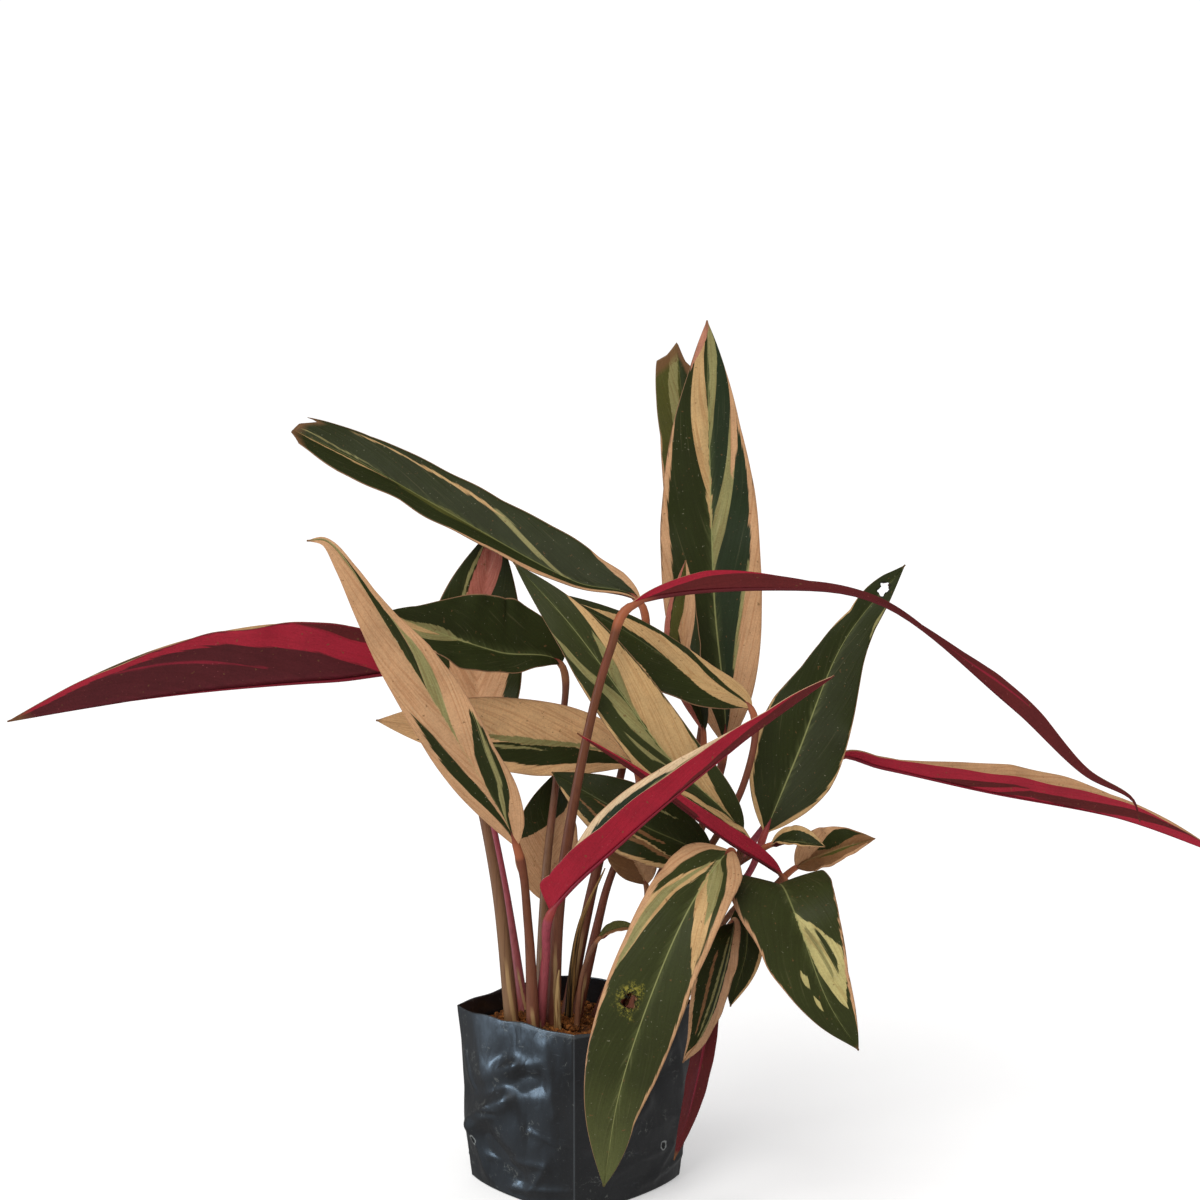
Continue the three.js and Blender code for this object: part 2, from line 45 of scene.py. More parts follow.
MM = 0.001
bag_height = 107 * MM
bag_film = 0.3 * MM
bag_belly_height = 48 * MM
rim_plan = (72 * MM, 1.14)
belly_plan = (69 * MM, 1.42)
base_plan = (63 * MM, 1.3)
base_share = 0.16
crease_seed = 4
rim_waves = (1.3 * MM, 0.6 * MM)
corner_crease = (0.7 * MM, 1.6 * MM)
crease_limit = 2.8 * MM
drain_height = 27 * MM
drain_radius = 1.5 * MM
drain_lip = (1.7 * MM, 2.7 * MM)
drain_slides = [22 * MM, -26 * MM, -33 * MM, 19 * MM]
film_folds = [
    (-38, 35, 0, 60, 7, 3), (-40, 56, 28, 76, 6, -2), (-8, 77, 8, 82, 5, 1.6),
    (8, 82, 26, 86, 4, 0.8), (-31, 104, -21, 70, 8, 1.2), (3, 104, -9, 80, 7, -1.4),
    (-35, 34, -22, 4, 6, 2.2), (-18, 32, 8, 16, 7, -2.2), (12, 60, 30, 40, 8, -1.2),
    (-20, 20, 30, 26, 2.6, 0.7), (30, 24, 14, 6, 2.4, 0.8), (20, 45, 44, 40, 2, 0.5),
    (-36, 40, -14, 54, 1.6, 0.6), (-30, 46, -8, 50, 1.4, -0.6), (0, 5, 44, 13, 2.5, 1.3),
    (30, 98, 38, 60, 4, 0.9), (-44, 80, -36, 60, 3, 1),
]


def light(red, green, blue):
    """A colour of 0 to 255 a channel as the shader's linear one."""
    parts = [part / 255 for part in (red, green, blue)]
    return [p / 12.92 if p < 0.04 else ((p + 0.055) / 1.055) ** 2.4 for p in parts] + [1]


def sheet(name, across, along, place):
    """A grid laid out by a function of the shares across and along, which are also its UVs."""
    bpy.ops.object.select_all(action="DESELECT")
    bpy.ops.mesh.primitive_grid_add(x_subdivisions=across, y_subdivisions=along, size=1)
    piece = bpy.context.object
    piece.name = piece.data.name = name
    flat = np.empty(len(piece.data.vertices) * 3)
    piece.data.vertices.foreach_get("co", flat)
    shares = flat.reshape(-1, 3)[:, :2] + 0.5
    piece.data.vertices.foreach_set("co", place(shares[:, 0], shares[:, 1]).ravel())
    bpy.ops.object.mode_set(mode="EDIT")
    bpy.ops.mesh.select_all(action="SELECT")
    bpy.ops.mesh.remove_doubles(threshold=0.00002)
    bpy.ops.object.mode_set(mode="OBJECT")
    bpy.ops.object.shade_smooth()
    return piece


def thicken(piece, thickness, offset, inner_finish):
    """Gives a sheet its thickness, with the next finish on its far side where there is one."""
    solidify = piece.modifiers.new("thickness", "SOLIDIFY")
    solidify.thickness = thickness
    solidify.offset = offset
    solidify.material_offset = inner_finish
    bpy.ops.object.modifier_apply(modifier=solidify.name)


def seat(piece, node):
    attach(piece, "root")
    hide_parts(node)


class Number:
    """A shader number, whose arithmetic adds Math nodes."""

    def __init__(self, finish, socket):
        self.finish = finish
        self.socket = socket

    def math(self, operation, *inputs):
        names = ["Value", "Value_001", "Value_002"]
        values = dict(zip(names, inputs))
        return self.finish.number("ShaderNodeMath", {"operation": operation}, values)

    def __add__(self, other):
        return self.math("ADD", self, other)

    def __sub__(self, other):
        return self.math("SUBTRACT", self, other)

    def __rsub__(self, other):
        return self.math("SUBTRACT", other, self)

    def __mul__(self, other):
        return self.math("MULTIPLY", self, other)

    def __truediv__(self, other):
        return self.math("DIVIDE", self, other)

    def __pow__(self, other):
        return self.math("POWER", self, other)

    def __abs__(self):
        return self.math("ABSOLUTE", self)

    __radd__ = __add__
    __rmul__ = __mul__

    def above(self, edge, softness):
        """0 below the edge, rising to 1 over the softness."""
        rise = (self - edge) / softness
        return rise.math("MINIMUM", rise.math("MAXIMUM", rise, 0), 1)


class Finish:
    """A material whose nodes are added by type, settings and the values or links of sockets."""

    def __init__(self, name, ground, **values):
        self.material = bpy.data.materials.new(name)
        self.material.use_nodes = True
        self.tree = self.material.node_tree
        self.surface = self.tree.nodes["Principled BSDF"]
        self.colour = ground
        self.give(Base_Color=ground, **values)

    def give(self, **values):
        """Sets or links sockets of the surface."""
        for name, value in values.items():
            self.put(self.surface, name.replace("_", " "), value)

    def put(self, node, name, value):
        socket = next(s for s in node.inputs if s.identifier == name)
        if isinstance(value, Number):
            self.tree.links.new(value.socket, socket)
        elif isinstance(value, bpy.types.NodeSocket):
            self.tree.links.new(value, socket)
        else:
            socket.default_value = value

    def node(self, kind, settings, values):
        node = self.tree.nodes.new(kind)
        for name, value in settings.items():
            if name == "stops":
                elements = node.color_ramp.elements
                while len(elements) < len(value):
                    elements.new(1)
                for element, (place, colour) in zip(elements, value):
                    element.position = place
                    element.color = colour
            else:
                setattr(node, name, value)
        for name, value in values.items():
            self.put(node, name, value)
        return node

    def number(self, kind, settings, values):
        return Number(self, self.node(kind, settings, values).outputs[0])

    def paint(self, mask, colour, blend="MIX"):
        """Lays one more coat of colour over those before it."""
        settings = {"data_type": "RGBA", "blend_type": blend}
        values = {"Factor_Float": mask, "A_Color": self.colour, "B_Color": colour}
        self.colour = self.node("ShaderNodeMix", settings, values).outputs[2]
        self.give(Base_Color=self.colour)

    def point(self, x, y, z):
        return self.node("ShaderNodeCombineXYZ", {}, {"X": x, "Y": y, "Z": z}).outputs[0]

    def parts(self, vector):
        node = self.node("ShaderNodeSeparateXYZ", {}, {"Vector": vector})
        return [Number(self, output) for output in node.outputs]

    def uv(self):
        return self.parts(self.node("ShaderNodeUVMap", {"uv_map": "UVMap"}, {}).outputs[0])[:2]

    def place(self):
        """The point of the surface, in metres."""
        return self.node("ShaderNodeTexCoord", {}, {}).outputs["Object"]

    def cloud(self, vector, scale, detail=2, roughness=0.5):
        values = {"Vector": vector, "Scale": scale, "Detail": detail, "Roughness": roughness}
        return self.number("ShaderNodeTexNoise", {}, values)

    def relief(self, height, distance, strength):
        values = {"Height": height, "Distance": distance, "Strength": strength}
        self.give(Normal=self.node("ShaderNodeBump", {}, values).outputs[0])


def bag_plan(z):
    """Corner distance and roundness of the bag's plan at each height."""
    low = np.sin(np.clip(z / bag_belly_height, 0, 1) * math.pi / 2)
    high = np.cos(np.clip((z - bag_belly_height) / (bag_height - bag_belly_height), 0, 1) * math.pi / 2)
    below = z < bag_belly_height
    share = np.where(below, low, high)
    corner = np.where(below, base_plan[0], rim_plan[0]) * (1 - share) + belly_plan[0] * share
    roundness = np.where(below, base_plan[1], rim_plan[1]) * (1 - share) + belly_plan[1] * share
    return corner, roundness


def bag_reach(angle, z, inset):
    corner, roundness = bag_plan(z)
    across = np.abs(np.cos(angle)) ** roundness + np.abs(np.sin(angle)) ** roundness
    return (corner - inset) / across ** (1 / roundness)


def folds(x, y, z):
    """How far out each point is pushed by the folds of the film, the same on all four sides."""
    turn = np.floor(np.arctan2(y, x) / (math.pi / 2)) * math.pi / 2 + math.pi / 4
    sideways = (y * np.cos(turn) - x * np.sin(turn)) / MM
    height = z / MM
    out = np.zeros_like(x)
    for start, low, end, high, width, depth in film_folds:
        run, rise = end - start, high - low
        share = ((sideways - start) * run + (height - low) * rise) / (run ** 2 + rise ** 2)
        near = np.clip(share, 0, 1)
        away = np.hypot(sideways - start - near * run, height - low - near * rise)
        out += depth * np.exp(-(away / width) ** 2)
    return out * MM


def creases(points):
    """How far in the creases and dents of the film lie at each point, in metres."""
    noise.seed_set(crease_seed)
    depths = []
    for x, y, z in points:
        bent = Vector((x, y, z)) + noise.noise_vector(Vector((x * 10, y * 10, z * 7))) * 0.016
        valley = abs(noise.noise(Vector((bent.x * 18, bent.y * 18, bent.z * 9))))
        ridge = abs(noise.noise(Vector((bent.x * 11 + 7, bent.y * 11, bent.z * 21))))
        dent = noise.noise(Vector((x * 13, y * 13, z * 9 + 5)))
        depths.append(1 + 1.4 * dent - 2.4 * min(valley, 0.3) + 1.8 * min(ridge, 0.3))
    return np.minimum(np.array(depths) * MM - folds(*np.array(points).T), crease_limit)


def bag_place(around, up):
    angle = around * 2 * math.pi
    wall = np.clip((up - base_share) / (1 - base_share), 0, 1)
    z = bag_height * wall
    reach = bag_reach(angle, z, 0)
    out = np.where(up < base_share, np.clip(up / base_share, 0, 1), 1)
    x, y = reach * np.cos(angle) * out, reach * np.sin(angle) * out
    ridge = np.minimum(np.abs(x), np.abs(y)) / corner_crease[1]
    quiet = np.clip(wall * 9, 0, 1) * (1 - 0.55 * np.clip((wall - 0.8) * 6, 0, 1))
    depth = creases(np.stack([x, y, z], 1)) * quiet - corner_crease[0] * np.exp(-(ridge ** 2)) * out
    inward = 1 - depth / np.maximum(reach, 0.001)
    rim_wave = rim_waves[0] * np.sin(angle * 3 + 1) + rim_waves[1] * np.sin(angle * 11)
    return np.stack([x * inward, y * inward, z + rim_wave * wall ** 6], 1)


def bag_finish():
    finish = Finish("bag_film", light(20, 21, 23), Specular_IOR_Level=0.5, Coat_Roughness=0.09)
    place = finish.place()
    across, deep, up = finish.parts(place)
    broad = finish.cloud(place, 14, 3)
    fine = finish.cloud(place, 1300, 2, 0.6)
    finish.paint(broad, light(38, 39, 41))
    scratches = finish.cloud(finish.point(across * 60, deep * 60, up * 500), 1, 3, 0.7)
    finish.paint(scratches.above(0.66, 0.08) * 0.16, light(120, 130, 140))
    finish.paint(fine.above(0.7, 0.05) * 0.4, light(130, 134, 130))
    squiggle = abs(finish.cloud(place, 170, 3) - 0.5).above(0.004, 0.008)
    worn = (1 - squiggle) * finish.cloud(place, 90, 2).above(0.58, 0.05)
    finish.paint(worn * 0.26, light(150, 154, 146))
    # Painted highlight: a pale bluish line along the four corner folds of the film, for the light their
    # sharp edges catch.
    fold = across.math("MINIMUM", abs(across), abs(deep))
    finish.paint((1 - fold.above(0.2 * MM, 0.5 * MM)) * 0.22, light(110, 118, 124))
    rim = up.above(bag_height - 1.6 * MM, 0.8 * MM)
    finish.paint(rim * 0.3, light(96, 102, 106))
    for side, slide in enumerate(drain_slides):
        turn = math.pi / 4 + side * math.pi / 2
        out = across * math.cos(turn) + deep * math.sin(turn)
        sideways = deep * math.cos(turn) - across * math.sin(turn) - slide
        rise = up - drain_height
        away = (sideways * sideways + rise * rise) ** 0.5 + (1 - out.above(0.02, 0.001))
        torn = away + (finish.cloud(place, 230, 3, 0.6) - 0.5) * 5 * MM
        ring = (1 - torn.above(drain_lip[1], 0.7 * MM)) * torn.above(drain_lip[0], 0.5 * MM)
        finish.paint(ring * 0.6, light(150, 154, 152))
        # The drain hole is not cut: painted shade, a near-black disc standing in for its dark inside.
        finish.paint(1 - torn.above(drain_radius, 0.4 * MM), light(2, 2, 2))
    finish.give(Roughness=0.24 + broad * 0.24, Coat_Weight=broad.above(0.3, 0.3) * 0.5)
    wrinkles = finish.cloud(finish.point(across * 34, deep * 34, up * 22), 1, 3, 0.5)
    finish.relief(abs(wrinkles - 0.5) * 2, 2 * MM, 0.6)
    return finish.material


bag = sheet("bag_wall", 260, 150, bag_place)
bag.data.materials.append(bag_finish())
thicken(bag, bag_film, -1, 0)
seat(bag, "grow_bag")


# ---- Potting soil -----------------------------------------------------------------------------
# A brown mix of bark and earth, tipped in round the stalks: heaped at the front left and lower
# towards the back. It is crumbly, with loose clods on its surface.

soil_gap = 4.5 * MM
soil_floor = 3 * MM
soil_low = 90 * MM
soil_heap = 13 * MM
heap_middle = (-22 * MM, -24 * MM)
heap_spread = 34 * MM
soil_wall_share = 0.3
lump_height = 3 * MM
grit_height = 1 * MM
clod_count = 420
clod_gap = 9 * MM
clod_sizes = (0.7, 2.4)


def soil_top(x, y):
    away = np.hypot(x - heap_middle[0], y - heap_middle[1]) / heap_spread
    return soil_low + soil_heap * np.exp(-(away ** 2) / 2)


def crumbs(x, y):
    heights = []
    for place in zip(x, y):
        point = Vector((*place, 0))
        lumps = noise.voronoi(point * 120)[0][0]
        heights.append((0.45 - lumps) * lump_height + noise.noise(point * 300) * grit_height)
    return np.array(heights)


def soil_place(around, up):
    angle = around * 2 * math.pi
    wall = np.clip(up / soil_wall_share, 0, 1)
    inward = np.clip((up - soil_wall_share) / (1 - soil_wall_share), 0, 1)
    rise = soil_floor + (soil_low - soil_floor) * wall
    edge = bag_reach(angle, rise, soil_gap)
    x, y = edge * np.cos(angle) * (1 - inward), edge * np.sin(angle) * (1 - inward)
    top = soil_top(x, y) + crumbs(x, y) * np.clip(inward * 12, 0, 1)
    side = soil_floor + (top - soil_floor) * wall
    return np.stack([x, y, np.where(up < soil_wall_share, side, top)], 1)


def soil_finish():
    finish = Finish("soil", light(70, 40, 20), Specular_IOR_Level=0.15, Roughness=0.95)
    place = finish.place()
    lumps = finish.cloud(place, 110, 4, 0.6)
    grit = finish.cloud(place, 620, 3, 0.7)
    finish.paint(lumps.above(0.35, 0.3), light(146, 88, 40))
    # Paler grit on the raised crumbs: partly light grains, partly painted highlight on their tops.
    finish.paint(grit.above(0.58, 0.12), light(190, 128, 64))
    finish.paint((1 - grit.above(0.4, 0.08)) * 0.7, light(28, 17, 10))
    finish.relief(lumps + grit * 0.6, 1.5 * MM, 0.8)
    return finish.material


soil_material = soil_finish()
soil = sheet("soil_heap", 150, 110, soil_place)
soil.data.materials.append(soil_material)
seat(soil, "potting_soil")

chance = np.random.default_rng(7)
clods = []
for _ in range(clod_count):
    angle, share = chance.uniform(0, 2 * math.pi), 0.97 * math.sqrt(chance.uniform(0, 1))
    edge = float(bag_reach(np.array(angle), np.array(soil_low), clod_gap))
    x, y = edge * share * math.cos(angle), edge * share * math.sin(angle)
    size = chance.uniform(*clod_sizes) ** 1.3 * MM
    spot = (x, y, float(soil_top(x, y)) + size * 0.3)
    bpy.ops.mesh.primitive_ico_sphere_add(subdivisions=1, radius=size, location=spot)
    clod = bpy.context.object
    clod.scale = chance.uniform(0.6, 1.2, 3)
    clod.rotation_euler = chance.uniform(0, 3, 3)
    clods.append(clod)
bpy.ops.object.select_all(action="DESELECT")
for clod in clods:
    clod.select_set(True)
bpy.ops.object.join()
bpy.ops.object.transform_apply(location=True, rotation=True, scale=True)
loose_clods = bpy.context.object
loose_clods.name = loose_clods.data.name = "soil_clods"
loose_clods.data.materials.append(soil_material)
seat(loose_clods, "potting_soil")


# ---- Leaves -----------------------------------------------------------------------------------
# Each leaf is a long thin blade on a round stalk that rises from the soil and swells into a joint
# under the blade. The top is dark green, splashed with cream along the side veins; the underside
# is wine red, and crimson where the top is cream.

blade_thickness = 0.5 * MM
blade_ends = (1.6 * MM, 0.5 * MM)
blade_groove = 0.4 * MM
blade_ripple = 0.045
blade_arch = 0.12
blade_across = 26
blade_along = 110
rib_share = 0.75
rib_girth = (0.5, 0.25)
rib_end = 0.4
rib_sink = 0.5 * MM
foot_height = 84
foot_flare = 0.42
stalk_taper = 0.3
joint_length = 9 * MM
joint_swelling = 0.22
stalk_skin = 0.7
path_steps = 20
vein_lines = 38
vein_slant = 0.42
vein_relief = 0.5 * MM
palette = {
    "dark": ((43, 49, 18), (94, 33, 33)),
    "blue_green": ((38, 50, 28), (86, 32, 36)),
    "fresh": ((52, 57, 25), (92, 32, 34)),
    "olive": ((80, 80, 34), (100, 36, 36)),
    "moss": ((108, 112, 66), (96, 34, 36)),
    "pale": ((140, 134, 86), (134, 32, 48)),
    "butter": ((182, 170, 112), (150, 30, 48)),
    "bright": ((222, 194, 156), (154, 28, 46)),
    # Painted light: the top colour of this entry is the cream made lighter, to make up for the shade
    # that the leaves above cast on the cream leaf.
    "lit_cream": ((220, 176, 126), (160, 28, 46)),
    "cream": ((196, 160, 110), (162, 34, 52)),
    "peach": ((194, 150, 110), (158, 34, 54)),
    "salmon": ((188, 128, 104), (160, 34, 56)),
    "pink": ((176, 104, 88), (160, 34, 56)),
    "brown": ((132, 94, 60), (94, 44, 34)),
}


def unit(vectors):
    return vectors / np.linalg.norm(vectors, axis=-1, keepdims=True)


def smooth_line(points):
    """A centripetal Catmull-Rom curve through the points, in equal steps a span."""
    knots = np.array(points, float) * MM
    knots = np.vstack([2 * knots[0] - knots[1], knots, 2 * knots[-1] - knots[-2]])
    line = []
    for a, b, c, d in zip(knots, knots[1:], knots[2:], knots[3:]):
        before, span, after = (np.linalg.norm(q - p) ** 0.5 for p, q in ((a, b), (b, c), (c, d)))
        leave = ((b - a) / before - (c - a) / (before + span) + (c - b) / span) * span
        reach = ((c - b) / span - (d - b) / (span + after) + (d - c) / after) * span
        for t in np.arange(path_steps) / path_steps:
            bend = (-3 * b + 3 * c - 2 * leave - reach) * t ** 2
            line.append(b + leave * t + bend + (2 * b - 2 * c + leave + reach) * t ** 3)
    return np.array(line + [knots[-2]])


def along_line(line, shares):
    """Points at shares of a line's length, and its direction at each."""
    lengths = np.r_[0, np.cumsum(np.linalg.norm(np.diff(line, axis=0), axis=1))]
    total = lengths[-1]

    def at(places):
        return np.stack([np.interp(places * total, lengths, line[:, k]) for k in range(3)], -1)

    step = 0.012
    ahead, behind = np.clip(shares + step, 0, 1), np.clip(shares - step, 0, 1)
    return at(shares), unit(at(ahead) - at(behind))


def blade_half(share, widest, taper, torn):
    place = share * torn
    rising = np.maximum(1 - (np.abs(widest - place) / widest) ** 2.3, 0) ** 0.8
    falling = 1 - (np.abs(place - widest) / (1 - widest)) ** taper
    return np.where(place < widest, rising, falling)


def blade_frame(leaf, along):
    """The midrib at shares of the blade's length, and the directions right and out of its top."""
    middle, forward = along_line(leaf["line"], along)
    faces = unit(np.array(leaf["face"], float))
    turns = np.linspace(0, 1, len(faces))
    face = unit(np.stack([np.interp(along, turns, part) for part in faces.T], -1))
    right = unit(np.cross(forward, face))
    return middle, right, np.cross(right, forward)


def blade_place(leaf):
    seed = leaf["seed"]

    def place(across, along):
        side = across * 2 - 1
        away, sign, left = np.abs(side), np.sign(side), side < 0
        along = along * (1 - np.interp(side, *zip(*leaf["torn_edge"])))
        middle, right, normal = blade_frame(leaf, along)
        half = np.where(left, *leaf["half"]) * MM
        half = half * blade_half(along, leaf["widest"], leaf["taper"], leaf["torn"])
        shares, left_trim, right_trim = np.array(leaf["trim"], float).T
        half = half * np.where(left, np.interp(along, shares, left_trim),
                               np.interp(along, shares, right_trim))
        half = np.maximum(half, blade_ends[0] * (1 - along) + blade_ends[1] * along)
        raised = np.radians(np.where(left, *leaf["fold"]))
        reach = away * half
        wave = np.sin(along * 23 + seed + 2 * left) + 0.6 * np.sin(along * 41 + 2 * seed + left)
        ripple = wave * away ** 2 * np.sin(math.pi * np.clip(along, 0, 1)) ** 0.5
        lift = half * (blade_ripple * ripple + blade_arch * away * (1 - away))
        lift -= blade_groove * np.exp(-((side / 0.07) ** 2))
        outward = reach * np.cos(raised) - lift * np.sin(raised)
        upward = reach * np.sin(raised) + lift * np.cos(raised)
        return middle + right * (sign * outward)[:, None] + normal * upward[:, None]

    return place


def stalk_place(line, radius):
    """A tube round a line, whose radius is a function of the share of the way along it."""

    def place(around, along):
        stations = np.unique(along)
        middles, forwards = along_line(line, stations)
        sides, side = [], np.array([1.0, 0, 0])
        for forward in forwards:
            other = unit(np.cross(forward, side))
            side = np.cross(other, forward)
            sides.append((side, other))
        index = np.searchsorted(stations, along)
        side, other = (np.array(pair)[index] for pair in zip(*sides))
        angle = around * 2 * math.pi
        spread = side * np.cos(angle)[:, None] + other * np.sin(angle)[:, None]
        return middles[index] + spread * radius(along)[:, None]

    return place


def blade_finish(leaf, top):
    paints = {name: light(*sides[0 if top else 1]) for name, sides in palette.items()}
    finish = Finish(leaf["name"] + ("_top" if top else "_underside"), paints[leaf["ground"]],
                    Specular_IOR_Level=0.13 if top else 0.11)
    shade = light(34, 30, 18) if top else light(34, 12, 16)
    glow = light(112, 118, 70) if top else light(120, 34, 50)
    across, along = finish.uv()
    side = across * 2 - 1
    away = abs(side)
    vein = along - vein_slant * away ** 1.25
    seed = leaf["seed"]
    teeth = finish.cloud(finish.point(vein * 46, away * 0.8, seed), 1, 3, 0.6)
    drift = finish.cloud(finish.point(vein * 7, away, seed + 3), 1, 1)
    ragged = across + (teeth - 0.5) * 0.075 + (drift - 0.5) * 0.05
    for kind, rows in leaf["pattern"]:
        rows = [[part / 100 for part in row] for row in rows]
        first, last = rows[0], rows[-1]
        before = [(first[0] - 0.02, *[(first[1] + first[2]) / 2] * 2)] if first[0] > 0.02 else []
        after = [(last[0] + 0.02, *[(last[1] + last[2]) / 2] * 2)] if last[0] < 0.98 else []
        rows = [*before, *rows, *after]
        stops = [(v, (left / 2 + 0.5, right / 2 + 0.5, 0, 1)) for v, left, right in rows]
        bounds = finish.node("ShaderNodeValToRGB", {"stops": stops}, {"Fac": along}).outputs[0]
        left, right, _ = finish.parts(bounds)
        whole = right - left
        mask = ragged.above(left, 0.012) * (1 - ragged.above(right, 0.012)) * whole.above(0.002, 0.01)
        finish.paint(mask, paints[kind])
    place = finish.place()
    fine = finish.cloud(finish.point(vein * vein_lines, away * 2.2, seed + 5), 1, 2, 0.6)
    blotch = finish.cloud(place, 48, 4, 0.62)
    grain = finish.cloud(place, 900, 3, 0.7)
    halo = (1 - away * (7 - along * 2)).above(0, 1)
    start, tint = leaf["fade"]
    finish.paint(along.above(start, 1.02 - start) * 0.62, paints[tint])
    finish.paint(halo * leaf["rib"] * fine.above(0.3, 0.5) * 0.65, glow)
    paleness = finish.number("ShaderNodeRGBToBW", {}, {"Color": finish.colour}).above(0.08, 0.16)
    lines = (0.52 - fine).above(0, 0.12) * (0.16 + paleness * 0.28)
    finish.paint(lines, (0.66, 0.5, 0.4, 1), "MULTIPLY")
    veins = fine.above(0.62, 0.1) * (0.04 + paleness * 0.14)
    finish.paint(veins, light(212, 188, 148) if top else glow)
    finish.paint(blotch.above(0.42, 0.4) * 0.26, shade)
    finish.paint(grain.above(0.4, 0.5) * 0.34, shade)
    scratches = finish.cloud(finish.point(ragged * 16, along * 90, seed), 1, 4, 0.75)
    dust = scratches.above(0.62, 0.12) * blotch.above(0.46, 0.2)
    finish.paint(dust * 0.22, light(168, 160, 140) if top else light(150, 80, 80))
    flecks = finish.cloud(place, 380, 2, 0.5).above(0.7, 0.03)
    finish.paint(flecks * 0.6, light(104, 74, 44))
    specks = finish.cloud(place, 640, 1, 0.5).above(0.75, 0.02)
    finish.paint(specks * 0.34, light(156, 152, 128) if top else light(170, 90, 92))
    rib = 1 - away.above(0.003 + (1 - along) * 0.009, 0.014)
    rib_paint = light(146, 146, 92) if top else light(104, 32, 40)
    finish.paint(rib * leaf["rib"] * 0.85, rib_paint)
    edge = away.above(0.972, 0.016)
    finish.paint(edge * 0.55, light(176, 130, 98) if top else light(132, 30, 46))
    tip = (along + (blotch - 0.5) * 0.06).above(leaf["brown_from"], 0.03)
    finish.paint(tip * 0.85, light(112, 78, 50))
    finish.give(Roughness=0.36 + blotch * 0.2)
    finish.relief(fine + teeth * 0.6 + blotch * 0.6 + grain * 0.3, vein_relief, 0.55)
    for v, spot, size, freckles in leaf["holes"]:
        long_way = (along - v) / size[0]
        cross_way = (across - (spot / 2 + 0.5)) / size[1]
        bites = finish.cloud(place, 260, 2, 0.5)
        gap = (long_way * long_way + cross_way * cross_way) ** 0.5 + (bites - 0.5) * 3
        finish.give(Alpha=gap.above(1, 0.05))
        near = (1 - (gap + blotch * 4).above(3.2, 1.4)) * freckles
        finish.paint(near * grain.above(0.5, 0.03) * 0.8, light(146, 136, 52))
        finish.paint(near * bites.above(0.6, 0.03), light(14, 14, 8))
        finish.paint((1 - gap.above(1.2, 0.3)) * 0.7, light(20, 18, 10))
    return finish.material


def stalk_finish(name, low, high, joint, rib):
    """The skin of a stalk, and from stalk_skin of the tube's length on that of the blade's rib."""
    finish = Finish(name, low, Specular_IOR_Level=0.2, Roughness=0.42)
    around, along = finish.uv()
    across, deep, up = finish.parts(finish.place())
    streak = finish.cloud(finish.point(across * 700, deep * 700, up * 22), 1, 3, 0.6)
    blush = finish.cloud(finish.point(across * 60, deep * 60, up * 14), 1, 2)
    finish.paint(along.above(0.05, 0.5), high)
    finish.paint(blush.above(0.48, 0.16) * 0.24, light(132, 60, 52))
    finish.paint(streak.above(0.48, 0.3) * 0.5, light(70, 36, 30))
    margin = abs(around + along * 0.7 - 0.86) + (streak - 0.5) * 0.08
    husk = (1 - margin.above(0.03, 0.03)) * (1 - along.above(0.15, 0.03))
    finish.paint(husk * 0.8, light(164, 132, 90))
    finish.paint(along.above(stalk_skin - 0.045, 0.015), joint)
    finish.paint(along.above(stalk_skin, 0.02), rib)
    finish.relief(streak, 0.5 * MM, 0.5)
    return finish.material


crimson_rib = light(116, 26, 40)
stalk_finishes = {
    "rust": stalk_finish("rust_stalk", light(112, 68, 50), light(106, 62, 40), light(152, 86, 56),
                         light(88, 28, 32)),
    "pink": stalk_finish("pink_stalk", light(138, 74, 72), light(150, 64, 76), light(146, 60, 56),
                         crimson_rib),
    "olive": stalk_finish("olive_stalk", light(122, 92, 64), light(118, 80, 58), light(142, 94, 62),
                          crimson_rib),
}


def patch(colour, *rows):
    """Each row is a place on the length and the patch's edges there, all in hundredths."""
    return colour, rows


def left_margin(colour, *rows):
    return colour, [(place, -100, edge) for place, edge in rows]


def right_margin(colour, *rows):
    return colour, [(place, edge, 100) for place, edge in rows]


usual_leaf = {
    "ground": "dark",
    "pattern": (),
    "rib": 0.8,
    "fade": (0.98, "brown"),
    "brown_from": 0.975,
    "trim": ((0, 1, 1), (1, 1, 1)),
    "torn": 1,
    "torn_edge": ((-1, 0), (1, 0)),
    "holes": (),
}


